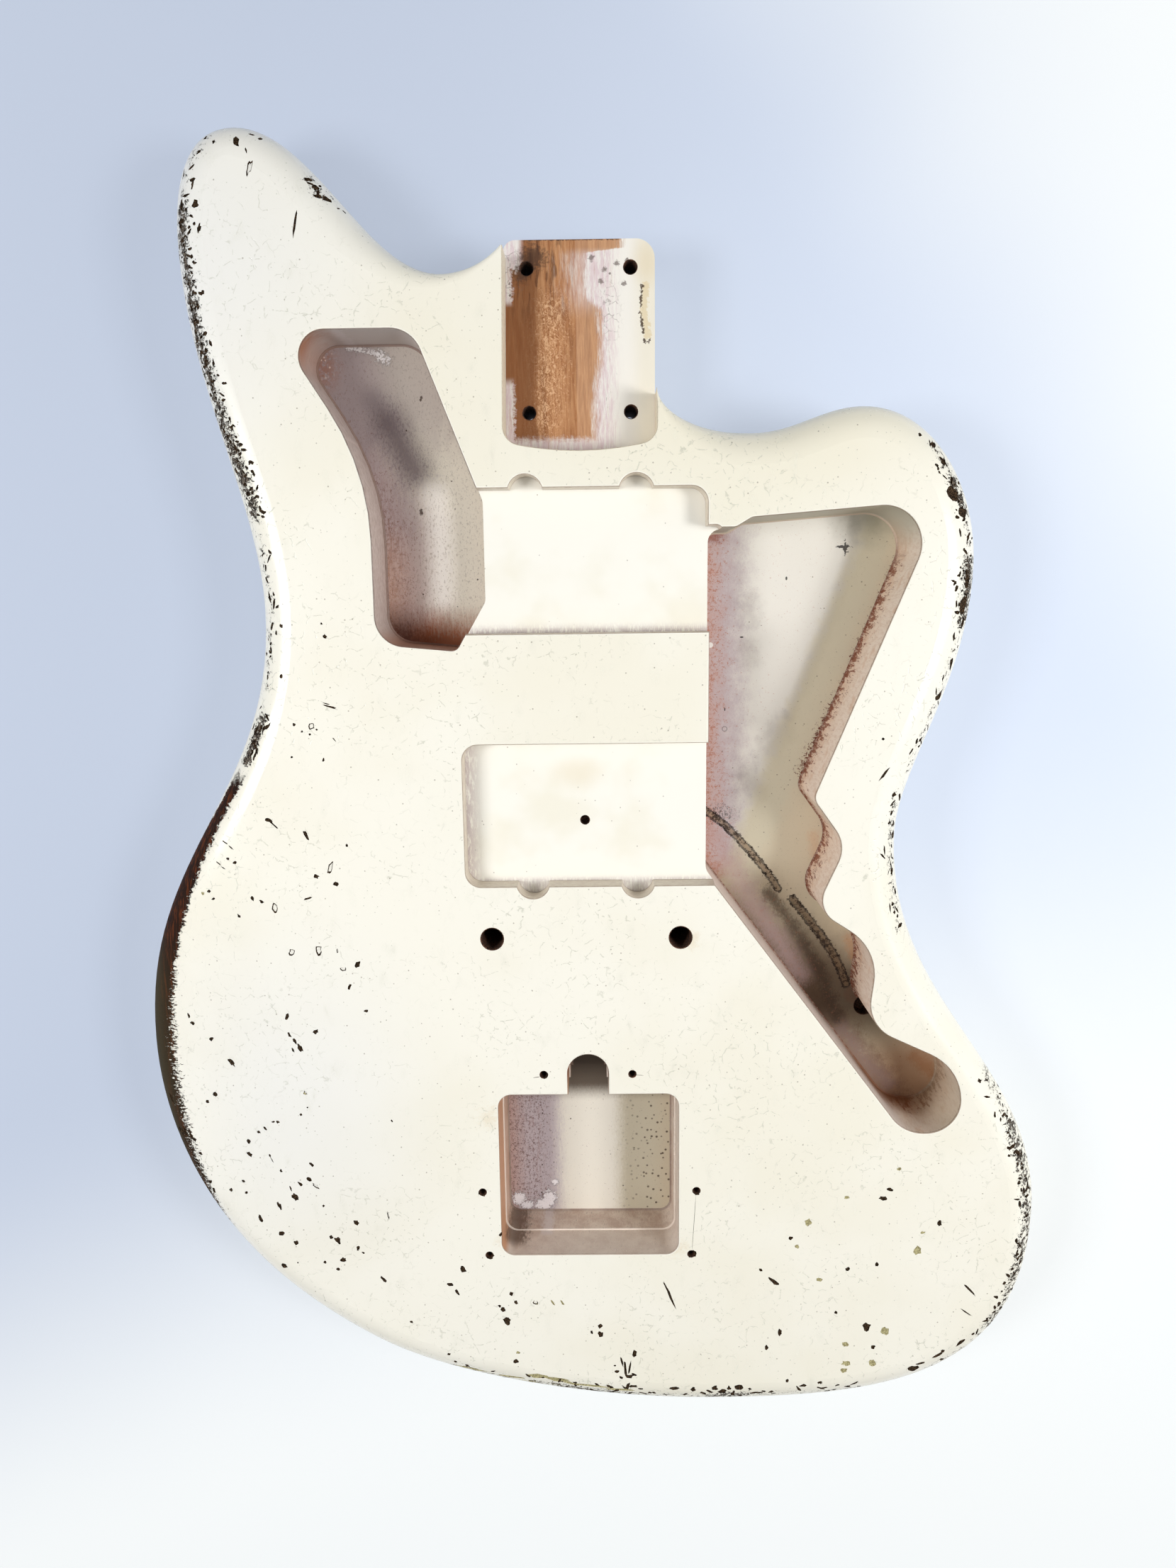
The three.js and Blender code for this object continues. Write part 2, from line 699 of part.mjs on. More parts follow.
const group = new THREE.Group();
boardNames.forEach((name, index) => {
  const board = body.intersect(boardSpan(glueLines[index], glueLines[index + 1]));
  const colour = new THREE.Color(LACQUER_COLOUR).multiplyScalar(boardTints[index]);
  const lacquered = new THREE.MeshStandardMaterial({
    color: colour,
    roughness: LACQUER_ROUGHNESS,
    metalness: 0,
  });
  const mesh = new THREE.Mesh(toGeometry(board), lacquered);
  mesh.name = name;
  group.add(mesh);
});

export default group;
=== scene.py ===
import json
import math
import random

import bmesh
import bpy
from mathutils import Euler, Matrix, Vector
from mathutils.bvhtree import BVHTree

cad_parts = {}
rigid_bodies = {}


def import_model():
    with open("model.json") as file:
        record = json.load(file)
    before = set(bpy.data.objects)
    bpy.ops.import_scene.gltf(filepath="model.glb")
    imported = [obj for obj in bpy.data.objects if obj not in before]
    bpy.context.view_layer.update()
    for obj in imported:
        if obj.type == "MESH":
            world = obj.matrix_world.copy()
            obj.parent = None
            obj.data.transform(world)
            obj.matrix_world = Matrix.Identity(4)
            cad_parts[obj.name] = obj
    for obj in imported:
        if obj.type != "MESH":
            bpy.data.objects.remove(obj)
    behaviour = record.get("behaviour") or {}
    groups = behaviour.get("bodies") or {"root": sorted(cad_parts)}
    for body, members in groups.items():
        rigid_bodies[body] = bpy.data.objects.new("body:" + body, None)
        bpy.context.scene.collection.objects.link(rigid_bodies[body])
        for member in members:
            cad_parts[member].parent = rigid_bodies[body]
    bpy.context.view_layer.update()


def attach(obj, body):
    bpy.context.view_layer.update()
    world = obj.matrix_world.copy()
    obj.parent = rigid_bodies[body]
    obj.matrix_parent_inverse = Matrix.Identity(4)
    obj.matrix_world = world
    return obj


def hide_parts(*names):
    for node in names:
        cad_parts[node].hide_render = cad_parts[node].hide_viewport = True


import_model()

scene = bpy.context.scene


# The view. The photograph was taken from straight in front of the face at arm's length, a
# little nearer the neck, with a wide lens that looks down into the routs.
VIEW_PLACE = (0.005525, 0.132335, 0.45355)
VIEW_TURN = (-0.172, 0.008, -0.012)
VIEW_LENS = 24.965
VIEW_SENSOR = 36.0
VIEW_NEAR = 0.01
VIEW_FAR = 20.0

view_data = bpy.data.cameras.new("view")
view_data.sensor_width = VIEW_SENSOR
view_data.lens = VIEW_LENS
view_data.clip_start = VIEW_NEAR
view_data.clip_end = VIEW_FAR
view = bpy.data.objects.new("view", view_data)
view.location = VIEW_PLACE
view.rotation_euler = Euler(VIEW_TURN)
scene.collection.objects.link(view)
scene.camera = view

PHOTO_WIDE = 1659
PHOTO_HIGH = 2212
FOCAL_PIXELS = PHOTO_HIGH * VIEW_LENS / VIEW_SENSOR
FACE_HEIGHT = 0.04445


def sight(x, y):
    """The direction in which the camera sees a pixel of the photograph."""
    seen = Vector((x - PHOTO_WIDE / 2, PHOTO_HIGH / 2 - y, -FOCAL_PIXELS))
    return (Euler(VIEW_TURN).to_matrix() @ seen).normalized()


class Enlargement:
    """A part of the photograph looked at closely, by its corner and its scale."""

    def __init__(self, left, top, scale):
        self.left, self.top, self.scale = left, top, scale

    def pixel(self, x, y):
        return self.left + x / self.scale, self.top + y / self.scale

    def spot(self, x, y, drop):
        """A place in it as millimetres across and along, on the level drop below the face."""
        way = sight(*self.pixel(x, y))
        reach = (FACE_HEIGHT - drop - VIEW_PLACE[2]) / way.z
        at = Vector(VIEW_PLACE) + reach * way
        return at.x * 1000, at.y * 1000

    def spots(self, places, drop):
        return [self.spot(x, y, drop) for x, y in places]


# The blank. Alder boards glued edge to edge, sawn to an outline with an offset waist, rounded
# over along both edges, and eased on the bass side for the arm in front and the ribs behind.
BODY_WIDTH = 0.3643
BODY_THICKNESS = FACE_HEIGHT
TAIL_REACH = 0.209
POCKET_REACH = 0.1842
HORN_RISE = 0.1133
LOWER_STRETCH = TAIL_REACH + POCKET_REACH
EDGE_RADIUS = 0.0127
NECK_EDGE_RADIUS = 0.0012
TREBLE_FADE = 0.036
BASS_FADE = 0.062
ARM_CONTOUR = {"depth": 0.010, "width": 0.058, "low": -0.175, "length": 0.255}
RIB_CONTOUR = {"depth": 0.014, "width": 0.066, "low": 0.023, "length": 0.190}
CONTOUR_SLOPE_POWER = 1.6
CONTOUR_WIDTH_POWER = 0.5
CONTOUR_RIM = 0.0015
HALF_POCKET = 0.028
POCKET_TOP = POCKET_REACH + 0.0762
TREBLE_WALL_TOP = POCKET_REACH + 0.0218
BASS_WALL_TOP = POCKET_REACH + 0.070
BASS_WALL_X = -0.0266
BASS_SIDE_X = -0.0276
TREBLE_CORNER = 0.007
BASS_CORNER = 0.0044
WALL_HANDLE_SHARE = 0.067
LEAVE_HANDLE_SHARE = 0.058
LEAVE_HEADING = math.radians(225)
OUTLINE_STEPS = 30
STRAIGHT_STEPS = 6
SIDE_STEPS = 2
CORNER_STEPS = 10
EDGE_STEPS = 9
CONTOUR_STEPS = 9
TILT_TRIES = 20

# Stations of the outline from the tail, counter-clockwise. Across is a share of the width and
# along one of the stretch from tail to pocket, or on the horns of their rise. Then come the
# heading in degrees and the handles before and after, as shares of the same stretch.
treble_lower_shares = (
    (0.1318, 0, 0, 0.108, 0.169),
    (0.5068, 0.2212, 90, 0.21, 0.162),
    (0.3343, 0.6269, 90, 0.178, 0.07),
    (0.4057, 0.8927, 90, 0.117, 0.072),
)
treble_horn_shares = (
    (0.2869, 0.1394, 180, 0.232, 0.134),
    (0.1735, 0.0594, 180, 0.148, 0.206),
)
bass_horn_shares = (
    (-0.1315, 0.5458, 180, 0.08, 0.241),
    (-0.3325, 1, 180, 0.241, 0.156),
    (-0.3969, 0.6616, 270, 0.183, 0.434),
)
bass_lower_shares = (
    (-0.3329, 0.8571, 270, 0.103, 0.183),
    (-0.4932, 0.4152, 270, 0.195, 0.148),
    (-0.2487, 0.0739, 330, 0.143, 0.099),
)


def lower_station(across, along, heading, before, after):
    return (
        Vector((across * BODY_WIDTH, along * LOWER_STRETCH - TAIL_REACH)),
        math.radians(heading), before * LOWER_STRETCH, after * LOWER_STRETCH,
    )


def horn_station(across, rise, heading, before, after):
    return (
        Vector((across * BODY_WIDTH, rise * HORN_RISE + POCKET_REACH)),
        math.radians(heading), before * HORN_RISE, after * HORN_RISE,
    )


def curve_samples(start, end):
    """Points and inward normals along the curve from one station to the next."""
    a, d = start[0], end[0]
    b = a + start[3] * Vector((math.cos(start[1]), math.sin(start[1])))
    c = d - end[2] * Vector((math.cos(end[1]), math.sin(end[1])))
    samples = []
    for step in range(OUTLINE_STEPS):
        t = step / OUTLINE_STEPS
        s = 1 - t
        point = s**3 * a + 3 * s * s * t * b + 3 * s * t * t * c + t**3 * d
        tangent = s * s * (b - a) + 2 * s * t * (c - b) + t * t * (d - c)
        tangent.normalize()
        samples.append((point, Vector((-tangent.y, tangent.x))))
    return samples


def arc_samples(centre, radius, start):
    samples = []
    for step in range(CORNER_STEPS):
        angle = start + math.pi / 2 * step / CORNER_STEPS
        out = Vector((math.cos(angle), math.sin(angle)))
        samples.append((centre + radius * out, -out))
    return samples


def line_samples(start, end, steps):
    along = (end - start).normalized()
    inward = Vector((-along.y, along.x))
    return [(start.lerp(end, step / steps), inward) for step in range(steps)]


def body_outline():
    """The whole outline, with the first and last sample that lie on the neck's tongue."""
    tail = lower_station(*treble_lower_shares[0])
    treble = [lower_station(*row) for row in treble_lower_shares]
    treble += [horn_station(*row) for row in treble_horn_shares]
    meet = Vector((HALF_POCKET, TREBLE_WALL_TOP))
    treble.append((meet, math.pi / 2, WALL_HANDLE_SHARE * HORN_RISE, 0))
    leave = Vector((BASS_SIDE_X, BASS_WALL_TOP))
    bass = [(leave, LEAVE_HEADING, 0, LEAVE_HANDLE_SHARE * HORN_RISE)]
    bass += [horn_station(*row) for row in bass_horn_shares]
    bass += [lower_station(*row) for row in bass_lower_shares]
    bass.append(tail)
    samples = []
    for start, end in zip(treble, treble[1:]):
        samples += curve_samples(start, end)
    first = len(samples)
    treble_centre = Vector((HALF_POCKET - TREBLE_CORNER, POCKET_TOP - TREBLE_CORNER))
    bass_centre = Vector((BASS_SIDE_X + BASS_CORNER, POCKET_TOP - BASS_CORNER))
    treble_end = Vector((HALF_POCKET, treble_centre.y))
    samples += line_samples(meet, treble_end, STRAIGHT_STEPS)
    samples += arc_samples(treble_centre, TREBLE_CORNER, 0)
    top = [Vector((centre.x, POCKET_TOP)) for centre in (treble_centre, bass_centre)]
    samples += line_samples(*top, STRAIGHT_STEPS)
    samples += arc_samples(bass_centre, BASS_CORNER, math.pi / 2)
    samples += line_samples(Vector((BASS_SIDE_X, bass_centre.y)), leave, SIDE_STEPS)
    last = len(samples) - 1
    for start, end in zip(bass, bass[1:]):
        samples += curve_samples(start, end)
    return samples, first, last


def ease(share):
    held = min(max(share, 0), 1)
    return held * held * (3 - 2 * held)


def contour_growth(contour, point):
    if point.x > BASS_SIDE_X:
        return 0
    share = min(max((point.y - contour["low"]) / contour["length"], 0), 1)
    return math.sin(math.pi * share) ** 2


def rim_profile(radius, contour, growth):
    """Insets and drops from the straight side, over the rounded edge, to the flat face."""
    depth = contour["depth"] * growth
    width = contour["width"] * growth**CONTOUR_WIDTH_POWER
    power = CONTOUR_SLOPE_POWER

    def drop(inset):
        return 0 if inset >= width else depth * (1 - inset / width) ** power

    def slope(inset):
        if inset >= width:
            return 0
        return power * depth * (1 - inset / width) ** (power - 1) / width

    tilt = 0
    for _ in range(TILT_TRIES):
        tilt = math.atan(slope(radius * (1 - math.sin(tilt))))
    edge_inset = radius * (1 - math.sin(tilt))
    centre_drop = drop(edge_inset) + radius * math.cos(tilt)
    profile = []
    for step in range(EDGE_STEPS + 1):
        angle = (math.pi / 2 - tilt) * step / EDGE_STEPS
        profile.append((radius * (1 - math.cos(angle)), centre_drop - radius * math.sin(angle)))
    last_inset = max(width, edge_inset + CONTOUR_RIM)
    for step in range(1, CONTOUR_STEPS + 1):
        inset = edge_inset + (last_inset - edge_inset) * step / CONTOUR_STEPS
        profile.append((inset, drop(inset)))
    profile.append((last_inset + CONTOUR_RIM, 0))
    return profile


def loft(name, rings, wall, floor=None):
    """A closed mesh through rings of points, lowest first, whose bottom can have a finish."""
    mesh = bpy.data.meshes.new(name)
    mesh.materials.append(wall.material)
    if floor:
        mesh.materials.append(floor.material)
    bm = bmesh.new()
    made = [[bm.verts.new(point) for point in ring] for ring in rings]
    count = len(made[0])
    for low, high in zip(made, made[1:]):
        for step in range(count):
            after = (step + 1) % count
            bm.faces.new((low[step], low[after], high[after], high[step]))
    bm.faces.new(reversed(made[0])).material_index = 1 if floor else 0
    bm.faces.new(made[-1])
    bmesh.ops.recalc_face_normals(bm, faces=bm.faces)
    bm.to_mesh(mesh)
    bm.free()
    return bpy.data.objects.new(name, mesh)


def blank_rings():
    samples, first, last = body_outline()
    travelled = [0]
    for (start, _), (end, _) in zip(samples, samples[1:]):
        travelled.append(travelled[-1] + (end - start).length)
    columns = []
    for place, (point, inward) in enumerate(samples):
        grown = 0
        if place < first:
            grown = ease((travelled[first] - travelled[place]) / TREBLE_FADE)
        elif place > last:
            grown = ease((travelled[place] - travelled[last]) / BASS_FADE)
        radius = NECK_EDGE_RADIUS + (EDGE_RADIUS - NECK_EDGE_RADIUS) * grown
        back = rim_profile(radius, RIB_CONTOUR, contour_growth(RIB_CONTOUR, point))
        face = rim_profile(radius, ARM_CONTOUR, contour_growth(ARM_CONTOUR, point))
        column = [(*(point + inset * inward), drop) for inset, drop in reversed(back)]
        column += [(*(point + inset * inward), BODY_THICKNESS - drop) for inset, drop in face]
        columns.append(column)
    return list(zip(*columns))


class Wire:
    """A number that varies over a surface. Its operators add Math nodes."""

    def __init__(self, finish, socket):
        self.finish = finish
        self.socket = socket

    def math(self, operation, *others):
        return self.finish.add("ShaderNodeMath", {"operation": operation}, (self, *others))

    def __add__(self, other):
        return self.math("ADD", other)

    __radd__ = __add__

    def __mul__(self, other):
        return self.math("MULTIPLY", other)

    __rmul__ = __mul__

    def __sub__(self, other):
        return self.math("SUBTRACT", other)

    def __rsub__(self, other):
        return self.finish.add("ShaderNodeMath", {"operation": "SUBTRACT"}, (other, self))

    def __truediv__(self, other):
        return self.math("DIVIDE", other)

    def most(self, other):
        return self.math("MAXIMUM", other)

    def least(self, other):
        return self.math("MINIMUM", other)

    def sway(self, reach):
        """Noise from 0 to 1 turned into a swing to both sides of 0."""
        return (self - 0.5) * reach

    def from_to(self, start, end):
        """0 at start, 1 at end, eased between them, whichever is the greater."""
        if end < start:
            return 1 - self.from_to(end, start)
        return self.finish.add(
            "ShaderNodeMapRange", {"interpolation_type": "SMOOTHSTEP"}, (self, start, end)
        )

    def other(self, name):
        """Another output of the same node."""
        return Wire(self.finish, self.socket.node.outputs[name])


class Finish:
    """A procedural material measured in millimetres from the body's origin."""

    def __init__(self, name, **constants):
        self.material = bpy.data.materials.new(name)
        self.material.use_nodes = True
        self.tree = self.material.node_tree
        self.shader = self.tree.nodes["Principled BSDF"]
        for socket, value in constants.items():
            self.shader.inputs[socket.replace("_", " ")].default_value = value
        place = self.add("ShaderNodeTexCoord", {}, {}, "Object")
        self.place = self.scale(place, 1000)
        self.x, self.y, self.z = self.split(self.place)
        self.facing = self.split(self.add("ShaderNodeNewGeometry", {}, {}, "Normal"))

    def add(self, kind, settings, values, output=0):
        """One node: its settings are set first, then its sockets get numbers or links."""
        node = self.tree.nodes.new(kind)
        for setting, value in settings.items():
            setattr(node, setting, value)
        if not isinstance(values, dict):
            values = dict(enumerate(values))
        for key, value in values.items():
            self.put(node.inputs[key], value)
        return Wire(self, node.outputs[output])

    def put(self, socket, value):
        if isinstance(value, Wire):
            self.tree.links.new(value.socket, socket)
        elif socket.type == "RGBA":
            socket.default_value = (*value, 1)
        else:
            socket.default_value = value

    def split(self, vector):
        parts = self.add("ShaderNodeSeparateXYZ", {}, [vector])
        return [parts.other(axis) for axis in "XYZ"]

    def vector(self, operation, *values):
        """Vector Math, whose second output is a number."""
        return self.add("ShaderNodeVectorMath", {"operation": operation}, values)

    def scale(self, vector, times):
        values = {"Vector": vector, "Scale": times}
        return self.add("ShaderNodeVectorMath", {"operation": "SCALE"}, values)

    def noise(self, size, detail=2, roughness=0.5, stretch=(1, 1, 1), distortion=0, shift=0):
        """Noise from 0 to 1 whose features are about size millimetres across."""
        at = self.add("ShaderNodeMapping", {}, {
            "Vector": self.place,
            "Location": (shift, 2 * shift, 3 * shift),
            "Scale": [1 / (size * share) for share in stretch],
        })
        return self.add("ShaderNodeTexNoise", {}, {
            "Vector": at, "Scale": 1, "Detail": detail, "Roughness": roughness,
            "Distortion": distortion,
        })

    def specks(self, spacing, share, reach):
        """Dots about spacing millimetres apart, of which only a share are there."""
        at = self.vector("DIVIDE", self.place, (spacing, spacing, spacing))
        cells = self.add("ShaderNodeTexVoronoi", {}, {"Vector": at, "Scale": 1})
        lot = self.split(cells.other("Color"))[0]
        return cells.from_to(reach, reach * 0.5) * lot.from_to(share + 0.001, share)

    def near(self, x, y, wide, high=None, ragged=0, rim=0.6):
        """1 inside an ellipse on the face that fades to 0 at its rim."""
        away = self.vector("SUBTRACT", self.place, (x, y, 0))
        away = self.vector("MULTIPLY", away, (1 / wide, 1 / (high or wide), 0))
        reach = self.vector("LENGTH", away).other("Value")
        return (reach + ragged).from_to(1, rim)

    def trail(self, points, half_width, ragged=0, rim=0.6):
        """1 within half_width of a line through points on the face."""
        nearest = None
        for start, end in zip(points, points[1:]):
            run = (end[0] - start[0], end[1] - start[1], 0)
            square = run[0] ** 2 + run[1] ** 2
            away = self.vector("SUBTRACT", self.place, (*start, 0))
            share = self.vector("DOT_PRODUCT", away, [part / square for part in run])
            share = share.other("Value").most(0).least(1)
            away = self.vector("SUBTRACT", away, self.scale(run, share))
            away = self.vector("MULTIPLY", away, (1, 1, 0))
            reach = self.vector("LENGTH", away).other("Value")
            nearest = reach if nearest is None else nearest.least(reach)
        return (nearest / half_width + ragged).from_to(1, rim)

    def crackle(self, size, width):
        """Thin lines between cells about size millimetres across."""
        bent = self.noise(size * 0.8, 3).other("Color")
        at = self.vector("DIVIDE", self.place, (size, size, size))
        at = self.vector("ADD", at, self.scale(bent, 0.6))
        cells = self.add("ShaderNodeTexVoronoi", {"feature": "DISTANCE_TO_EDGE"},
                         {"Vector": at, "Scale": 1})
        return cells.from_to(width, 0)

    def mix(self, factor, first, second):
        """Two colours mixed, each a tuple or a wire."""
        values = {0: factor, 6: first, 7: second}
        return self.add("ShaderNodeMix", {"data_type": "RGBA"}, values, output=2)

    def base(self, factor, first, second):
        """The surface's first colour, on which the coats are laid."""
        self.colour = self.mix(factor, first, second)

    def coat(self, mask, tint):
        """A colour laid over what is there so far, where the mask is 1."""
        self.colour = self.mix(mask, self.colour, tint)

    def paint(self, **inputs):
        for name, value in inputs.items():
            self.put(self.shader.inputs[name.replace("_", " ")], value)

    def bump(self, height, depth):
        """Height runs from 0 to 1 over depth millimetres."""
        values = {"Height": height, "Distance": depth / 1000, "Strength": 1.0}
        normal = self.add("ShaderNodeBump", {}, values)
        self.paint(Normal=normal)
        return normal

    def lay_over(self, mask, second):
        """Another surface in place of this one where the mask is 1."""
        first = Wire(self, self.shader.outputs[0])
        both = self.add("ShaderNodeMixShader", {}, {"Fac": mask, 1: first, 2: second})
        self.put(self.tree.nodes["Material Output"].inputs["Surface"], both)


def shade(red, green, blue):
    """A colour as it looks on screen, in the linear numbers that shaders take."""
    return tuple(
        part / 12.92 if part <= 0.04045 else ((part + 0.055) / 1.055) ** 2.4
        for part in (red / 255, green / 255, blue / 255)
    )


CREAM = shade(252, 248, 234)
CREAM_WARM = shade(242, 235, 212)
CREAM_COOL = shade(243, 242, 238)
STAIN_GREY = shade(210, 209, 192)
CRACK_GREY = shade(184, 184, 166)
SPECK_DARK = shade(120, 104, 84)
CHIP_DARK = shade(34, 28, 24)
CHIP_GREY = shade(128, 116, 102)
BARE_DARK = shade(38, 20, 10)
BARE_BROWN = shade(98, 48, 20)
BARE_OLIVE = shade(64, 56, 38)

# Where the edge is worn to a crust: how badly, half its width in millimetres, and pixels of
# the photograph along it
WORN_RUNS = (
    (0.6, 4.5, ((300, 190), (276, 212), (264, 250), (256, 295))),
    (1.15, 6, ((256, 295), (258, 349), (268, 394), (277, 455), (291, 516), (311, 583))),
    (1.15, 6.5, ((311, 583), (333, 645), (352, 695), (360, 725))),
    (0.6, 4, ((366, 760), (379, 812), (387, 851), (383, 900), (380, 970))),
    (1.35, 4.4, ((373, 1012), (360, 1046), (349, 1074))),
    (0.75, 4.5, ((1316, 627), (1331, 651), (1344, 680))),
    (1.1, 6, ((1344, 680), (1358, 718))),
    (0.7, 4, ((1358, 718), (1366, 760), (1366, 790))),
    (1.12, 6.5, ((1366, 795), (1363, 835), (1357, 875))),
    (0.6, 4, ((1353, 893), (1340, 937), (1322, 985), (1300, 1046), (1282, 1088))),
    (0.65, 4, ((1262, 1118), (1257, 1176), (1255, 1210), (1259, 1250), (1266, 1310))),
    (0.7, 5, ((1392, 1514), (1411, 1554), (1424, 1584))),
    (1, 7, ((1424, 1584), (1438, 1625), (1446, 1670), (1448, 1715), (1441, 1760), (1428, 1800))),
    (0.95, 6, ((1428, 1800), (1412, 1836), (1392, 1866))),
    (0.6, 4, ((1392, 1866), (1366, 1892), (1296, 1936))),
    (0.75, 3.6, ((634, 1923), (680, 1935), (718, 1942))),
    (1, 4.6, ((750, 1945), (790, 1952), (845, 1959), (890, 1963))),
    (0.65, 4, ((890, 1963), (963, 1964), (1000, 1964))),
    (1, 5, ((1000, 1964), (1020, 1964), (1052, 1963))),
    (0.55, 4, ((1052, 1963), (1156, 1957), (1210, 1955))),
    (0.7, 4, ((240, 1540), (262, 1600), (300, 1690))),
    (0.7, 5, ((436, 250), (458, 280))),
)
CRUST_DROP = 0.004

whole = Enlargement(0, 0, 1)

# The lacquer: cream, here warm and there cool, with a painted pale reflection on the lower bass
# side, stained, cracked and specked with age
lacquer = Finish("aged_lacquer")
coarse = lacquer.noise(2.4, detail=7, roughness=0.78, distortion=0.7)
fine = lacquer.noise(0.7, detail=4, roughness=0.7)
lacquer.base(lacquer.noise(75, 3).from_to(0.4, 0.7) * 0.45, CREAM, CREAM_WARM)
lacquer.coat(lacquer.near(-150, 255, 110, rim=0.1) * 0.8, CREAM_COOL)
lacquer.coat(lacquer.near(45, 205, 170, 80, rim=0) * 0.85, CREAM_WARM)
# A painted pale reflection spread over the lower bass side
lacquer.coat(lacquer.near(-120, -70, 80, 110, rim=0) * 0.7, CREAM_COOL)
stains = lacquer.noise(5, 5, 0.65, stretch=(1, 2.4, 1), shift=4).from_to(0.56, 0.78)
lacquer.coat(stains * 0.3, STAIN_GREY)
for stain_x, stain_y, size in (
    (41, -1, 5), (-40, -75, 7), (-35, -130, 6), (36, -133, 6), (132, -66, 9),
):
    yellowed = lacquer.near(stain_x, stain_y, size, ragged=coarse.sway(3), rim=0) * 0.32
    lacquer.coat(yellowed, shade(226, 204, 162))
patchy = lacquer.noise(30, 2, shift=2).from_to(0.4, 0.62)
cracks = lacquer.crackle(6, 0.04) * patchy * lacquer.noise(2.2, 2, shift=6).from_to(0.48, 0.6)
lacquer.coat(cracks * 0.5, CRACK_GREY)
lacquer.coat(lacquer.specks(3.2, 0.4, 0.12) * 0.55, SPECK_DARK)
lacquer.coat(lacquer.specks(1.7, 0.25, 0.18) * 0.5, CRACK_GREY)

# Small chips break through it where the edge is worn to a crust.
crust = 0
for share, half_width, points in WORN_RUNS:
    places = whole.spots(points, CRUST_DROP)
    run = lacquer.trail(places, half_width, fine.sway(1.2), rim=0) * share
    crust = run if crust == 0 else crust.most(run)
mottle = lacquer.noise(2.1, detail=6, roughness=0.75, distortion=0.9, shift=9)
chips = (mottle - 0.68 + 0.2 * crust).from_to(0, 0.02) * crust.from_to(0, 0.15)
chips = chips * lacquer.z.from_to(20, 30)
chip_colour = lacquer.mix(fine.from_to(0.44, 0.6), CHIP_DARK, CHIP_GREY)
olive = (lacquer.y + coarse.sway(30)).from_to(-165, -185) * lacquer.x.from_to(0, -20)
chip_colour = lacquer.mix(olive * 0.6, chip_colour, shade(120, 108, 60))

# Along the bass side the forearm has rubbed the edge down to the wood, but left the lacquer
# on the side below it.
rub_edge = -168.4 + 0.003 * (lacquer.y + 48) * (lacquer.y + 48)
fringe = lacquer.noise(0.8, 4, 0.7, stretch=(3.5, 1, 1), shift=2)
rub = rub_edge - lacquer.x + coarse.sway(8)
rub = rub + fringe.sway(6 + 13 * lacquer.y.from_to(10, -50))
rub = rub.from_to(-0.35, 0.35) * (lacquer.y + coarse.sway(20)).from_to(67, 62)
lowest = 21 + 12 * lacquer.y.from_to(4, 30) + 5.5 * lacquer.y.from_to(28, 64)
rub = rub * (lacquer.z - lowest + coarse.sway(9)).from_to(-0.4, 0.4)
rub = rub * (lacquer.y + coarse.sway(20)).from_to(-140, -126)
# Under it is dark wood with its grain, olive toward the tail.
grain = lacquer.noise(1.1, 6, 0.65, stretch=(1, 16, 1))
bare = lacquer.mix(grain.from_to(0.46, 0.66), BARE_DARK, BARE_BROWN)
bare = lacquer.mix(lacquer.y.from_to(8, -22) * (0.25 + 0.7 * lacquer.z.from_to(39, 34)),
                   bare, BARE_OLIVE)
bare = lacquer.mix(fine.from_to(0.55, 0.7) * 0.6, bare, CHIP_DARK)
bare = lacquer.mix(chips * (1 - rub), bare, chip_colour)
damage = chips.most(rub)
lacquer.paint(Base_Color=lacquer.colour, Roughness=stains * 0.1 + 0.25)
normal = lacquer.bump(1 - damage * 0.9 - cracks * 0.12 + coarse * 0.02, 0.35)
dull = {"Base Color": bare, "Roughness": 0.75, "Specular IOR Level": 0.12, "Normal": normal}
lacquer.lay_over(damage, lacquer.add("ShaderNodeBsdfPrincipled", {}, dull))

blank = loft("blank", blank_rings(), lacquer)


# The neck pocket. A template router leaves a flat floor and straight walls; the floor stays
# bare wood where the neck sits, with lacquer mist blown in along its edges.
ROUT_RIM = 0.0007
RIM_STEPS = 4
FOOT_STEPS = 3
CORNER_STEP = math.radians(7.5)
OVERRUN = 0.002
POCKET_DEPTH = 0.0159
POCKET_BOW = 0.0034
BOW_STEPS = 8
POCKET_CORNER = 0.0065
SHARP_RIM = 0.0003

routs = bpy.data.collections.new("routs")


def rounded(corners):
    """A polygon, anticlockwise, from (x, y, radius) corners, each rounded by its radius."""
    points = []
    for place, (x, y, radius) in enumerate(corners):
        at = Vector((x, y))
        before = Vector(corners[place - 1][:2]) - at
        after = Vector(corners[(place + 1) % len(corners)][:2]) - at
        turn = math.pi - before.angle(after)
        if radius == 0:
            points.append(at)
            continue
        reach = radius * math.tan(turn / 2)
        start = at + before.normalized() * reach
        side = 1 if before.x * after.y - before.y * after.x > 0 else -1
        centre = start + Vector((-before.y, before.x)).normalized() * radius * side
        steps = max(1, math.ceil(turn / CORNER_STEP))
        for step in range(steps + 1):
            angle = -side * turn * step / steps
            arm = start - centre
            points.append(centre + Vector((
                arm.x * math.cos(angle) - arm.y * math.sin(angle),
                arm.x * math.sin(angle) + arm.y * math.cos(angle),
            )))
    return points


def grown(points, growth):
    """The polygon moved outwards by growth."""
    made = []
    for place, point in enumerate(points):
        first = (point - points[place - 1]).normalized()
        second = (points[(place + 1) % len(points)] - point).normalized()
        out = Vector((first.y + second.y, -first.x - second.x))
        made.append(point + growth * out / (1 + first.dot(second)))
    return made


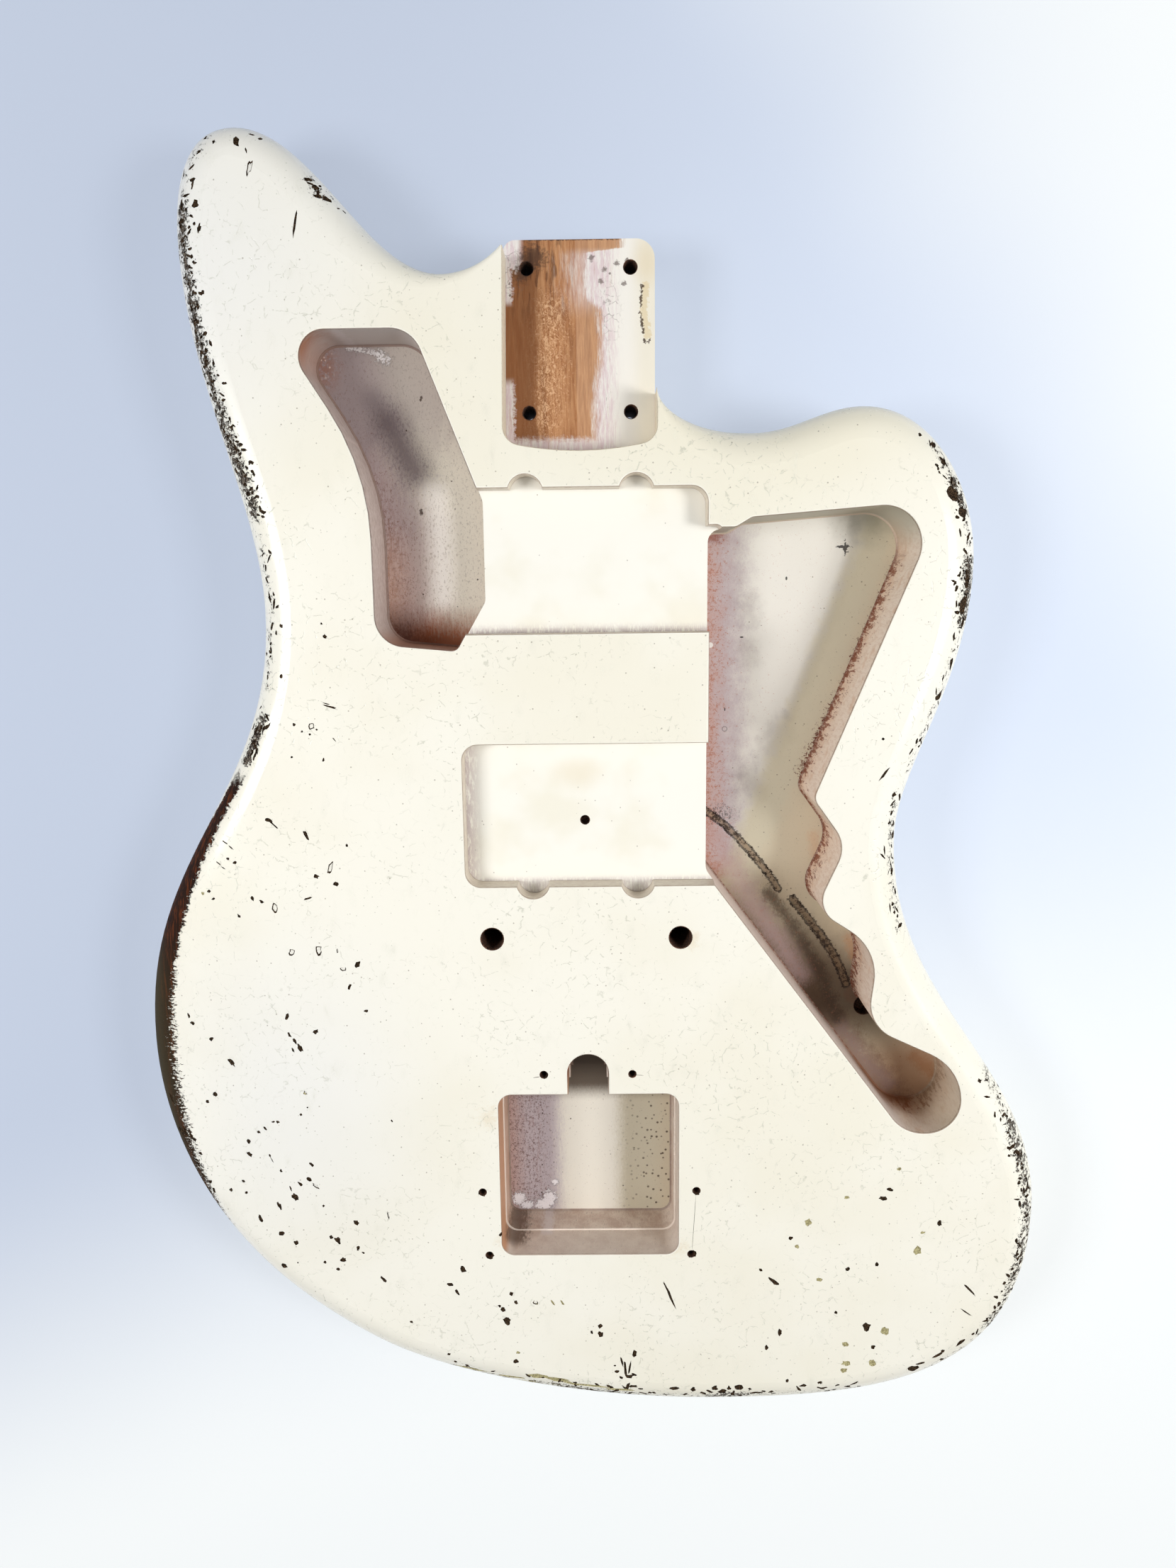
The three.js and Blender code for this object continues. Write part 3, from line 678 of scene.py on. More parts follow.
def rout(name, points, depth, wall, floor, rim=ROUT_RIM, foot=0, top=BODY_THICKNESS):
    """A cutter whose mouth flares into the face, as lacquer softens a routed edge."""
    area = sum(a.x * b.y - a.y * b.x for a, b in zip(points, points[1:] + points[:1]))
    if area < 0:
        points = points[::-1]
    bottom = top - depth
    levels = []
    if foot:
        for step in range(FOOT_STEPS):
            angle = math.pi / 2 * step / FOOT_STEPS
            levels.append((foot * (math.sin(angle) - 1), bottom + foot * (1 - math.cos(angle))))
    levels.append((0, bottom + foot))
    for step in range(RIM_STEPS):
        angle = math.pi / 2 * step / RIM_STEPS
        levels.append((rim * (1 - math.cos(angle)), top - rim * (1 - math.sin(angle))))
    flare = rim * (1 + math.cos(angle))
    levels += [(flare, top + rim * (1 - math.sin(angle))), (flare, top + OVERRUN)]
    rings = [
        [(point.x, point.y, z) for point in grown(points, growth)] for growth, z in levels
    ]
    routs.objects.link(loft(name, rings, wall, floor))


WOOD_LIGHT = shade(198, 146, 102)
WOOD_MID = shade(174, 118, 76)
WOOD_DARK = shade(136, 84, 48)
WOOD_DEEP = shade(92, 54, 32)
MIST_PINK = shade(228, 210, 212)
MIST_WHITE = shade(242, 238, 232)
SMUDGE = shade(72, 52, 42)
SPOT_GREY = shade(118, 104, 98)
AMBER = shade(222, 196, 138)
STAIN_LINE = shade(70, 50, 38)

pocket_view = Enlargement(690, 320, 3.52)
CURL_LINE = ((300, 420), (290, 600), (290, 780), (270, 960))
TIDE_STAIN = ((760, 290), (752, 380), (750, 430), (762, 490), (768, 540), (776, 580), (796, 566))

# The floor: bare wood with its grain and a patch of curl
pocket_floor = Finish("pocket_floor_wood", Specular_IOR_Level=0.25)
x, y = pocket_floor.x, pocket_floor.y
fibre = pocket_floor.noise(0.8, 6, 0.7, stretch=(1, 15, 1), distortion=0.3)
vein = pocket_floor.noise(2.8, 5, 0.62, stretch=(1, 11, 1), distortion=0.7, shift=3)
spray = pocket_floor.noise(1.0, 6, 0.75, stretch=(1, 8, 1), shift=7)
ragged = pocket_floor.noise(1.3, 5, 0.7, shift=5)
pocket_floor.base(fibre.from_to(0.38, 0.62), WOOD_MID, WOOD_LIGHT)
pocket_floor.coat(vein.from_to(0.5, 0.7) * 0.7, WOOD_DARK)
pocket_floor.coat(vein.from_to(0.68, 0.76) * 0.5, WOOD_DEEP)
ripple = pocket_floor.noise(1.1, 4, 0.65, stretch=(1, 1.5, 1), distortion=1.6, shift=8)
curls = pocket_view.spots(CURL_LINE, POCKET_DEPTH)
figure = pocket_floor.trail(curls, 10, ragged.sway(3), 0)
broad = pocket_floor.noise(6, 3, 0.5, stretch=(1, 4, 1), shift=13)
pocket_floor.coat(broad.from_to(0.46, 0.66) * 0.45, WOOD_DARK)
pocket_floor.coat(fibre.from_to(0.38, 0.28) * 0.6, WOOD_DEEP)
pocket_floor.coat(ripple.from_to(0.48, 0.6) * figure * 0.75, shade(236, 192, 150))
pocket_floor.coat(ripple.from_to(0.45, 0.36) * figure * 0.8, WOOD_DARK)
pocket_floor.coat((x + vein.sway(14)).from_to(-14, -18) * 0.75, WOOD_DARK)
streaky = pocket_floor.noise(1.8, 5, 0.6, stretch=(1, 9, 1), distortion=0.5, shift=15)
streaky = streaky.from_to(0.52, 0.62) * y.from_to(226, 246) * x.from_to(-3, -9)
pocket_floor.coat(streaky * 0.7, WOOD_DEEP)
pocket_floor.coat(x.from_to(-1.25, -1.15) * 0.25, shade(226, 186, 152))
# Mist lies past a ragged edge on the treble side, and in bands by the bass wall and inner end.
mist_edge = 4.7 + 2.4 * y.from_to(205, 220) - 6 * y.from_to(235, 241)
mist_edge = mist_edge + 14 * y.from_to(255.4, 257.6)
over = x - mist_edge + spray.sway(10)
mist = over.from_to(-1.5, 3)
thin_mist = (x + spray.sway(26)).from_to(-10, 3) * y.from_to(232, 244) * y.from_to(258, 254)
mist = mist.most(thin_mist * 0.55)
mist = mist.most((190.5 - y + ragged.sway(5) + spray.sway(2)).from_to(-1.4, 1.8) * 0.9)
left_band = (-24.6 - x + ragged.sway(5)).from_to(-0.8, 0.8)
mist = mist.most(left_band * y.from_to(213, 209)).most(left_band * y.from_to(237, 240))
mist = mist.most((y - 250 + ragged.sway(8)).from_to(-1, 1) * (-21 - x).from_to(-1.5, 1.5))
# It is pink where thin, and cream toward the treble wall.
veil = pocket_floor.mix(spray.from_to(0.42, 0.6), MIST_PINK, MIST_WHITE)
veil = pocket_floor.mix((x + spray.sway(8)).from_to(9, 16), veil, shade(250, 247, 238))
veil = pocket_floor.mix(x.from_to(17, 25) * 0.6, veil, CREAM_WARM)
veil = pocket_floor.mix(fibre.from_to(0.56, 0.68) * x.from_to(16, 8) * 0.5, veil, WOOD_MID)
pocket_floor.coat(mist * 0.93, veil)
# Hairline cracks, a touch of amber, a dark smudge in the bass corner, and grey spots
hair = pocket_floor.near(-24.5, 249, 6, 11).most(pocket_floor.near(11.5, 236, 6, 17, rim=0.2))
hair = hair * pocket_floor.crackle(3.4, 0.07) * ragged.from_to(0.42, 0.56)
hair = hair.most(pocket_floor.near(11, 208, 5, 20, rim=0.3) * spray.from_to(0.62, 0.68))
pocket_floor.coat(hair * 0.55, SPOT_GREY)
pocket_floor.coat(pocket_floor.near(25, 252, 8, 12, rim=0.1) * 0.3, AMBER)
smudge = pocket_floor.near(-16.5, 254.5, 6.5, 6, ragged=ragged.sway(2.2), rim=0.3)
smudge = smudge.most(pocket_floor.near(-21, 249, 4.2, 5, ragged=ragged.sway(1.6), rim=0.2))
pocket_floor.coat(smudge * 0.75, SMUDGE)
for spot_x, spot_y, size in (
    (4.8, 254, 1.3), (9.6, 250, 1.1), (8.3, 246, 1.2), (14, 252, 1.2), (18, 253, 1.0),
    (16.6, 245, 1.1), (11.5, 248.6, 0.6), (-25.3, 245.6, 0.5), (-25.3, 241.4, 0.5),
):
    spot = pocket_floor.near(spot_x, spot_y, size, ragged=ragged.sway(3), rim=0.5)
    pocket_floor.coat(spot * 0.8, SPOT_GREY)
# The tide line of an old stain, and the frayed end of the tongue
tide = pocket_view.spots(TIDE_STAIN, POCKET_DEPTH)
beside = [(along + 1.3, up) for along, up in tide[:5]]
pale_tide = pocket_floor.trail(beside, 1.6, ragged.sway(3), 0.6)
pocket_floor.coat(pale_tide * 0.5, AMBER)
outline = pocket_floor.trail(tide, 0.55, ragged.sway(8), 0.6)
outline = outline * pocket_floor.noise(1.6, 3, shift=11).from_to(0.44, 0.5)
pocket_floor.coat(outline * 0.9, STAIN_LINE)
frayed = (y + ragged.sway(2.4)).from_to(259.9, 260.3) * x.from_to(-21, -19) * x.from_to(16, 14)
pocket_floor.coat(frayed * 0.8, SMUDGE)
pocket_floor.paint(Base_Color=pocket_floor.colour, Roughness=0.62 - mist * 0.2)
pocket_floor.bump(fibre * (1 - mist * 0.6) + ripple * figure * 0.5, 0.12)

# The walls: warm lacquer, darker along the floor
pocket_wall = Finish("pocket_wall_lacquer")
rough = pocket_wall.noise(1.2, 5, 0.7)
pocket_wall.base(rough.from_to(0.4, 0.7) * 0.5, CREAM_WARM, shade(206, 180, 160))
# Darker along the floor
darker_marks = (pocket_wall.z + rough.sway(2)).from_to(30.4, 29.2)
pocket_wall.coat(darker_marks * 0.6, shade(150, 104, 78))
pocket_wall.coat(pocket_wall.z.from_to(43.9, 44.3) * 0.35, shade(150, 130, 104))
pocket_wall.paint(Base_Color=pocket_wall.colour, Roughness=0.5)

# The inner end is bowed, deepest in the middle, and rounded into the walls.
pocket_end = []
for step in range(BOW_STEPS + 1):
    share = 2 * step / BOW_STEPS - 1
    radius = POCKET_CORNER if step in (0, BOW_STEPS) else 0
    pocket_end.append((share * HALF_POCKET, POCKET_REACH + POCKET_BOW * share**2, radius))
open_x = HALF_POCKET + OVERRUN
open_y = POCKET_TOP + OVERRUN
rout("neck_pocket", rounded([
    (-open_x, open_y, 0),
    (-open_x, BASS_WALL_TOP, 0),
    (BASS_WALL_X, BASS_WALL_TOP, 0),
    *pocket_end,
    (HALF_POCKET, TREBLE_WALL_TOP, 0),
    (open_x, TREBLE_WALL_TOP, 0),
    (open_x, open_y, 0),
]), POCKET_DEPTH, pocket_wall, pocket_floor, rim=SHARP_RIM)


# Four holes for the neck bolts, drilled right through the pocket's floor. Their bores are
# bare wood, darkened by the bolts.
BOLT_ACROSS = 0.0381
BOLT_ALONG = 0.0508
BOLT_DIAMETER = 0.0048
BOLT_ROW = POCKET_REACH + 0.0156
HOLE_SIDES = 24


def circle(x, y, diameter, sides=HOLE_SIDES):
    turns = [2 * math.pi * side / sides for side in range(sides)]
    radius = diameter / 2
    return [Vector((x + radius * math.cos(turn), y + radius * math.sin(turn))) for turn in turns]


bore = Finish("bore_wood", Roughness=0.85)
bore.base(bore.noise(0.8, 4, 0.7).from_to(0.4, 0.65), shade(44, 28, 20), shade(110, 70, 46))
bore.paint(Base_Color=bore.colour)
pocket_level = BODY_THICKNESS - POCKET_DEPTH
for row in range(2):
    for side in (-1, 1):
        points = circle(side * BOLT_ACROSS / 2, BOLT_ROW + row * BOLT_ALONG, BOLT_DIAMETER)
        rout("bolt_hole", points, pocket_level + OVERRUN, bore, bore, SHARP_RIM,
             top=pocket_level)


# The pickup routs. Both are shallow and clean-floored under the lacquer, with two half-round
# notches for the pickups' height screws, and run out into the cavities beside them.
PICKUP_DEPTH = 0.0095
PICKUP_HALF_SPAN = 0.0465
PICKUP_CORNER = 0.006
NOTCH_OFFSET = 0.0204
NOTCH_RADIUS = 0.00635
NOTCH_RISE = 0.0048
NECK_ROUT_LOW = 0.1184
NECK_ROUT_HIGH = NECK_ROUT_LOW + 0.0528
BRIDGE_ROUT_LOW = 0.021
BRIDGE_ROUT_HIGH = BRIDGE_ROUT_LOW + 0.0556
LINK_INSET = 0.014
LINK_REACH = 0.0058
LINK_X = PICKUP_HALF_SPAN + LINK_REACH
BASS_LINK_SHARE = 0.2
LINK_CORNER = 0.003
RHYTHM_INNER = 0.0368
RHYTHM_WIDTH = 0.0711
CONTROL_INNER = 0.0474
LOCATOR_REACH = 0.0454
LOCATOR_DIAMETER = 0.0035
LOCATOR_DEPTH = 0.004
LOCATOR_RIM = 0.0002
NOTCH_STEPS = 16

OVERSPRAY = shade(196, 178, 178)
TAN_WALL = shade(232, 222, 204)
RIM_BROWN = shade(140, 112, 88)


def line_under_rim(wall, rough, wander, heights, strength, tint):
    """The thin dark line where the face's lacquer stops."""
    line = (wall.z + rough.sway(wander)).from_to(*heights)
    wall.coat(line * strength, tint)


def cream_mouth(wall):
    """The face's lacquer runs over the flare at the mouth of a rout."""
    wall.coat(wall.facing[2].from_to(0.75, 0.95) * wall.z.from_to(43, 43.8), CREAM)


# The floors: glossy cream, with dry overspray along three edges
pickup_floor = Finish("pickup_rout_lacquer", Roughness=0.35)
x, y = pickup_floor.x, pickup_floor.y
spray = pickup_floor.noise(0.8, 5, 0.75, stretch=(1, 5, 1))
pickup_floor.base(pickup_floor.noise(30, 3).from_to(0.45, 0.7) * 0.5,
                  shade(254, 251, 240), CREAM_WARM)
dry_edge = (y + spray.sway(9)).from_to(122.5, 118.6) * y.from_to(117, 118)
dry_edge = dry_edge.most((x + spray.sway(9)).from_to(-39, -46.2) * y.from_to(78, 77))
dry_edge = dry_edge.most((y + spray.sway(5)).from_to(23.4, 21.2) * 0.6)
pickup_floor.coat(dry_edge * spray.from_to(0.36, 0.58) * 0.8, OVERSPRAY)
pickup_floor.coat(pickup_floor.near(-3, 64, 15, 9, rim=0.1) * 0.25, AMBER)
pickup_floor.coat(pickup_floor.specks(3.4, 0.3, 0.1) * 0.5, SPECK_DARK)
pickup_floor.paint(Base_Color=pickup_floor.colour)

# The walls: tan, browner along the floor
pickup_wall = Finish("pickup_rout_wall", Roughness=0.4)
rough = pickup_wall.noise(1.0, 5, 0.7, stretch=(3, 3, 1))
pickup_wall.base(rough.from_to(0.4, 0.66) * 0.6, TAN_WALL, shade(196, 176, 160))
pickup_wall.coat(pickup_wall.z.from_to(36.4, 35.2) * 0.45, RIM_BROWN)
line_under_rim(pickup_wall, rough, 0.8, (43.75, 44.05), 0.5, RIM_BROWN)
cream_mouth(pickup_wall)
pickup_wall.paint(Base_Color=pickup_wall.colour)


def notch(x, edge, outward, order):
    """The arc of a notch in a long wall, from one side of it to the other."""
    centre = edge + outward * (NOTCH_RISE - NOTCH_RADIUS)
    dip = math.asin((NOTCH_RADIUS - NOTCH_RISE) / NOTCH_RADIUS)
    points = []
    for step in range(NOTCH_STEPS + 1):
        angle = dip + (math.pi - 2 * dip) * step / NOTCH_STEPS
        points.append((
            x + order * NOTCH_RADIUS * math.cos(angle),
            centre + outward * NOTCH_RADIUS * math.sin(angle), 0,
        ))
    return points


bass_end = -(RHYTHM_INNER + RHYTHM_WIDTH * BASS_LINK_SHARE)
rout("neck_pickup_rout", rounded([
    (bass_end, NECK_ROUT_LOW, 0),
    (LINK_X, NECK_ROUT_LOW, 0),
    (LINK_X, NECK_ROUT_HIGH - LINK_INSET, LINK_CORNER),
    (PICKUP_HALF_SPAN, NECK_ROUT_HIGH - LINK_INSET, 0),
    (PICKUP_HALF_SPAN, NECK_ROUT_HIGH, PICKUP_CORNER),
    *notch(NOTCH_OFFSET, NECK_ROUT_HIGH, 1, 1),
    *notch(-NOTCH_OFFSET, NECK_ROUT_HIGH, 1, 1),
    (bass_end, NECK_ROUT_HIGH, 0),
]), PICKUP_DEPTH, pickup_wall, pickup_floor)
bridge_link_x = CONTROL_INNER + LINK_REACH
rout("bridge_pickup_rout", rounded([
    (-PICKUP_HALF_SPAN, BRIDGE_ROUT_LOW, PICKUP_CORNER),
    *notch(-NOTCH_OFFSET, BRIDGE_ROUT_LOW, -1, -1),
    *notch(NOTCH_OFFSET, BRIDGE_ROUT_LOW, -1, -1),
    (bridge_link_x, BRIDGE_ROUT_LOW, 0),
    (bridge_link_x, BRIDGE_ROUT_HIGH, 0),
    (-PICKUP_HALF_SPAN, BRIDGE_ROUT_HIGH, PICKUP_CORNER),
]), PICKUP_DEPTH, pickup_wall, pickup_floor)
rout("locator_hole", circle(0, LOCATOR_REACH, LOCATOR_DIAMETER), LOCATOR_DEPTH, bore, bore,
     LOCATOR_RIM, top=BODY_THICKNESS - PICKUP_DEPTH)


# The rhythm-circuit cavity in the bass horn, routed deep for its switch and rollers. Its
# lacquer is a thin mist over bare wood, so it stays brown and grey.
CAVITY_FOOT = 0.0008
RHYTHM_DEPTH = 0.0254
RHYTHM_LENGTH = 0.1145
RHYTHM_LOW = 0.1124
# Corners of a cavity: shares of its width and length, and a radius as a share of its width
rhythm_corner_shares = (
    (1, 1, 0.13), (0.323, 1, 0.162), (0, 0.48, 0.085), (0, 0.157, 0.056),
    (0.148, 0, 0.045), (0.57, 0.025, 0.155), (0.568, 0.577, 1.24),
)


def cavity_points(corners, inner, side, low, width, length):
    return rounded([
        (inner + side * across * width, low + along * length, radius * width)
        for across, along, radius in corners
    ])


MAUVE = shade(188, 170, 168)
GREIGE = shade(236, 228, 210)
BROWN_STREAK = shade(146, 92, 72)
WET_BROWN = shade(78, 34, 14)
CHALK = shade(232, 226, 226)
RUST = shade(150, 74, 46)

rhythm_view = Enlargement(410, 440, 2.8)
SHADE_LINE = ((330, 350), (385, 440), (440, 540), (490, 625))
LIGHT_LINE = ((575, 720), (590, 850), (600, 1000), (604, 1130))
CHALK_LINE = ((225, 140), (300, 152), (345, 168), (378, 192))

# The floor: mist that goes from mauve on the bass side to grey beige
rhythm_floor = Finish("rhythm_cavity_floor", Roughness=0.6, Specular_IOR_Level=0.25)
x, y = rhythm_floor.x, rhythm_floor.y
grain = rhythm_floor.noise(0.7, 5, 0.85, stretch=(1, 2, 1))
streak = rhythm_floor.noise(0.8, 6, 0.75, stretch=(1, 8, 1), shift=3)
blotch = rhythm_floor.noise(1.5, 6, 0.7, shift=6)
broad = rhythm_floor.noise(9, 4, 0.6, stretch=(1, 2, 1), shift=9)
across = x + (y - 160).most(0) * 0.42 + grain.sway(26) + streak.sway(16)
rhythm_floor.base(across.from_to(-72, -46), MAUVE, GREIGE)
rhythm_floor.coat(broad.from_to(0.46, 0.68) * across.from_to(-56, -70) * 0.4,
                  shade(156, 136, 134))
brown = streak.from_to(0.44, 0.58) * (across + broad.sway(20)).from_to(-58, -82)
brown = brown.most(grain.from_to(0.53, 0.58) * across.from_to(-40, -74))
rhythm_floor.coat(brown * (0.3 + 0.35 * y.from_to(190, 145)), BROWN_STREAK)
# Painted shade toward the upper end, deepest on the bass side
upper_end_shade = (y + broad.sway(30)).from_to(176, 206)
rhythm_floor.coat(upper_end_shade * (0.55 + 0.4 * x.from_to(-66, -88)), shade(166, 151, 150))
# Painted soft shade down the middle, and a painted patch of light below it
for points, half_width, strength, tint in (
    (SHADE_LINE[:2], 8, 0.5, shade(128, 114, 116)),
    (SHADE_LINE[1:], 11.5, 0.85, shade(118, 103, 105)),
    (LIGHT_LINE, 8, 0.6, shade(246, 240, 232)),
):
    places = rhythm_view.spots(points, RHYTHM_DEPTH)
    patch = rhythm_floor.trail(places, half_width, grain.sway(2), rim=0)
    rhythm_floor.coat(patch * strength, tint)
# The mist stays thin down the horn's side, and the wood's brown shows through it in dots.
thin = across.from_to(-58, -80) * (0.35 + 0.65 * (y + broad.sway(30)).from_to(205, 150))
showing = rhythm_floor.noise(1.1, 5, 0.85, stretch=(1, 1.4, 1), shift=17)
showing = (showing - 0.62 + 0.11 * thin).from_to(0, 0.05)
rhythm_floor.coat(showing * 0.7, shade(128, 88, 72))
warm = across.from_to(-58, -80) * y.from_to(165, 140)
rhythm_floor.coat(warm * 0.4, shade(232, 186, 156))
# The lower end is soaked brown.
wet = (y + grain.sway(14) + streak.sway(12) + (x + 70) * 0.1).from_to(133, 117)
wood = rhythm_floor.mix((x + grain.sway(20)).from_to(-72, -58), WET_BROWN, shade(150, 80, 36))
rhythm_floor.coat(wet * 0.95, wood)
# Rust and flakes in the upper corner
rusty = rhythm_floor.near(-99, 219, 11, 14, rim=0.1) * blotch.from_to(0.4, 0.52)
rhythm_floor.coat(rusty * 0.6, shade(156, 96, 66))
flaked = rhythm_floor.near(-98, 220, 8, 8, rim=0.1) * rhythm_floor.specks(1.5, 0.5, 0.4)
rhythm_floor.coat(flaked * 0.8, shade(238, 220, 206))
# A smear of chalk across the upper end
ragged = rhythm_floor.noise(0.9, 6, 0.8, shift=8).sway(5)
chalk_line = rhythm_view.spots(CHALK_LINE, RHYTHM_DEPTH)
chalk = rhythm_floor.trail(chalk_line[:3], 1.1, ragged * 1.2, 0.8) * 0.8
chalk = chalk.most(rhythm_floor.trail(chalk_line[2:], 1.9, ragged * 1.2, 0.8))
chalk = chalk * rhythm_floor.noise(1.2, 4, 0.7, shift=14).from_to(0.4, 0.46)
rhythm_floor.coat(chalk * 0.95, shade(246, 240, 238))
# Specks of dirt, and dark dots all over
darker_marks = rhythm_floor.specks(4.2, 0.3, 0.11)
for spot_x, spot_y, size in ((-62.5, 165, 0.9), (-60.8, 207.6, 0.55), (-61.1, 206.8, 0.5)):
    darker_marks = darker_marks.most(rhythm_floor.near(spot_x, spot_y, size, size * 1.5, ragged * 0.6))
rhythm_floor.coat(darker_marks * 0.9, SMUDGE)
rhythm_floor.coat(grain.from_to(0.56, 0.6) * 0.4, shade(120, 104, 96))
rhythm_floor.paint(Base_Color=rhythm_floor.colour)
rhythm_floor.bump(grain * 0.4 + chalk, 0.12)

# The walls: thin mist, with brown wood bare in the upper corner and at the lower end
rhythm_wall = Finish("rhythm_cavity_wall", Roughness=0.55, Specular_IOR_Level=0.3)
rough = rhythm_wall.noise(1.1, 6, 0.75, stretch=(2.5, 2.5, 1))
rhythm_wall.base(rough.from_to(0.42, 0.62) * 0.6, shade(214, 200, 192), shade(172, 148, 138))
# Painted shade, grey, on the walls that face the tail
tail_facing_shade = rhythm_wall.facing[1].from_to(-0.2, -0.9)
rhythm_wall.coat(tail_facing_shade, shade(202, 194, 188))
raw = rhythm_wall.near(-97, 221, 13, 12, rough.sway(1.4), 0.1)
raw = raw * (0.5 + 0.5 * rhythm_wall.z.from_to(30, 42))
raw = raw.most((rhythm_wall.y + rough.sway(12)).from_to(122, 114) * 0.8)
rhythm_wall.coat(raw * 0.85, shade(166, 104, 68))
streaked = rhythm_wall.near(-87, 229, 3.2, 5, rough.sway(3), 0.5)
rhythm_wall.coat(streaked * 0.35, CHALK)
line_under_rim(rhythm_wall, rough, 1.2, (43.6, 44), 0.6, shade(96, 76, 62))
rhythm_wall.coat(rhythm_wall.z.from_to(20.2, 19.6) * 0.7, shade(120, 86, 70))
cream_mouth(rhythm_wall)
rhythm_wall.paint(Base_Color=rhythm_wall.colour)

rout("rhythm_cavity", cavity_points(
    rhythm_corner_shares, -RHYTHM_INNER, -1, RHYTHM_LOW, RHYTHM_WIDTH, RHYTHM_LENGTH,
), RHYTHM_DEPTH, rhythm_wall, rhythm_floor, foot=CAVITY_FOOT)


# The control cavity down the treble side, for the switch, the two pots and the jack. Its
# floor is misted with lacquer, brown along the walls, and a hole runs on for the wires.
CONTROL_DEPTH = 0.03175
CONTROL_WIDTH = 0.1016
CONTROL_LENGTH = 0.248
CONTROL_LOW = -0.0831
WIRE_HOLE_PLACE = (0.1172, -0.041)
WIRE_HOLE_DIAMETER = 0.008
WIRE_HOLE_DEPTH = 0.006
control_corner_shares = (
    (0, 0.965, 0.049), (0.094, 0.965, 0.04), (0.152, 0.979, 0.04), (0.836, 1, 0.138),
    (0.394, 0.555, 0.049), (0.523, 0.481, 0.125), (0.411, 0.378, 0.103),
    (0.66, 0.312, 0.216), (0.622, 0.184, 0.157), (0.995, 0.112, 0.22),
    (1.01, 0, 0.131), (0.786, 0, 0.157), (0, 0.435, 0.059),
)

SHADE_GREEN = shade(212, 202, 172)
SPECK_RED = shade(186, 124, 98)
CONTROL_MIST = shade(238, 234, 224)
GLUE_GREY = shade(160, 136, 108)
GLUE_EDGE = shade(46, 32, 24)
UPPER_GLUE = (
    (47.5, 45.5), (52.5, 42), (57, 38.5), (62, 33.5), (67, 28), (71.5, 22.5), (76, 17), (80, 10.5),
)
LOWER_GLUE = ((86, 6), (92, -1.5), (98, -9.5), (103, -17), (107, -24.5), (109.5, -31.5))

control_view = Enlargement(980, 690, 2.159)
RUST_FLECKS = ((630, 215), (570, 350), (500, 520), (445, 630), (385, 740), (330, 860))
# Runs of smoke and mist, the last a painted shadow edge: pixels along each, half its width in
# millimetres, and its strength
SMOKE_AND_SHADOW_RUNS = (
    (((165, 340), (172, 390)), 7, 0.22),
    (((165, 480), (172, 520)), 7, 0.22),
    (((262, 735), (235, 790)), 10, 0.34),
    (((160, 880), (190, 920)), 8, 0.28),
    # The darker painted edge of the shadow toward the treble wall
    (((490, 100), (470, 220), (420, 380), (345, 560), (290, 700)), 4.5, 0.32),
)
channel_view = Enlargement(980, 1100, 1.9)
CHANNEL_MIST_AND_SHADOW_RUNS = (
    (((60, 150), (135, 290), (225, 430), (285, 520)), 8, 0.55, shade(200, 172, 170)),
    (((395, 665), (460, 760), (520, 810)), 6, 0.5, shade(170, 146, 142)),
    # A painted shadow down the middle of the channel
    (((195, 300), (270, 400), (350, 540), (380, 640)), 4.5, 0.7, shade(76, 60, 46)),
    (((318, 150), (330, 230)), 4, 0.5, shade(222, 184, 146)),
    (((415, 430), (440, 500)), 4, 0.6, shade(206, 158, 116)),
    (((590, 740), (640, 790)), 5, 0.5, shade(168, 112, 66)),
)

# The floor: pale mist, brown and freckled toward the bass wall
control_floor = Finish("control_cavity_floor", Roughness=0.55, Specular_IOR_Level=0.25)
x, y = control_floor.x, control_floor.y
grain = control_floor.noise(0.5, 4, 0.8, stretch=(1, 2, 1))
blotch = control_floor.noise(6, 5, 0.65, shift=2)
ragged = control_floor.noise(1.4, 6, 0.75, shift=6) - 0.5
lower = y.from_to(30, 0)
# The slant of the bass-side wall below the bridge pickup, and how far in from the walls
inward = (x - 47.4).least((x - 50) * 0.8 + (y - 22) * 0.6)
inward = inward + grain.sway(12) + blotch.sway(16)
control_floor.base(inward.from_to(24, 8), CONTROL_MIST, shade(204, 190, 192))
control_floor.coat(inward.from_to(12, 3) * 0.5, shade(208, 168, 156))
control_floor.coat(lower * 0.6, shade(176, 152, 132))
control_floor.coat(inward.from_to(6, -1) * 0.35, shade(210, 138, 104))
showing = control_floor.noise(1.1, 5, 0.85, shift=17)
freckled = (showing - 0.63 + 0.12 * inward.from_to(18, 2)).from_to(0, 0.04)
control_floor.coat(freckled * 0.8, SPECK_RED)
# Grey smoke lies over it in four places, and the fifth run is a painted shadow edge.
for points, half_width, strength in SMOKE_AND_SHADOW_RUNS:
    places = control_view.spots(points, CONTROL_DEPTH)
    smoke_and_shadow = control_floor.trail(places, half_width, blotch.sway(1.5), 0)
    control_floor.coat(smoke_and_shadow * strength, shade(146, 136, 126))
# Toward the treble wall lies a painted shadow in grey green, paler again by the wall, with dark
# specks over it.
outward = 0.932 * (x - 73.7) - 0.362 * (y - 72.5) + blotch.sway(9)
control_floor.coat(outward.from_to(0, 8) * 0.8, SHADE_GREEN)
control_floor.coat(outward.from_to(14, 22) * 0.35, shade(226, 206, 176))
dots = control_floor.specks(2.6, 0.5, 0.13) * outward.from_to(0, 10)
control_floor.coat(dots.most(control_floor.specks(5, 0.3, 0.08)) * 0.7, SPECK_DARK)
peppered = (control_floor.noise(1.1, 5, 0.85, shift=23) - 0.62).from_to(0, 0.04)
control_floor.coat(peppered * outward.from_to(-2, 8) * 0.45, SPECK_DARK)
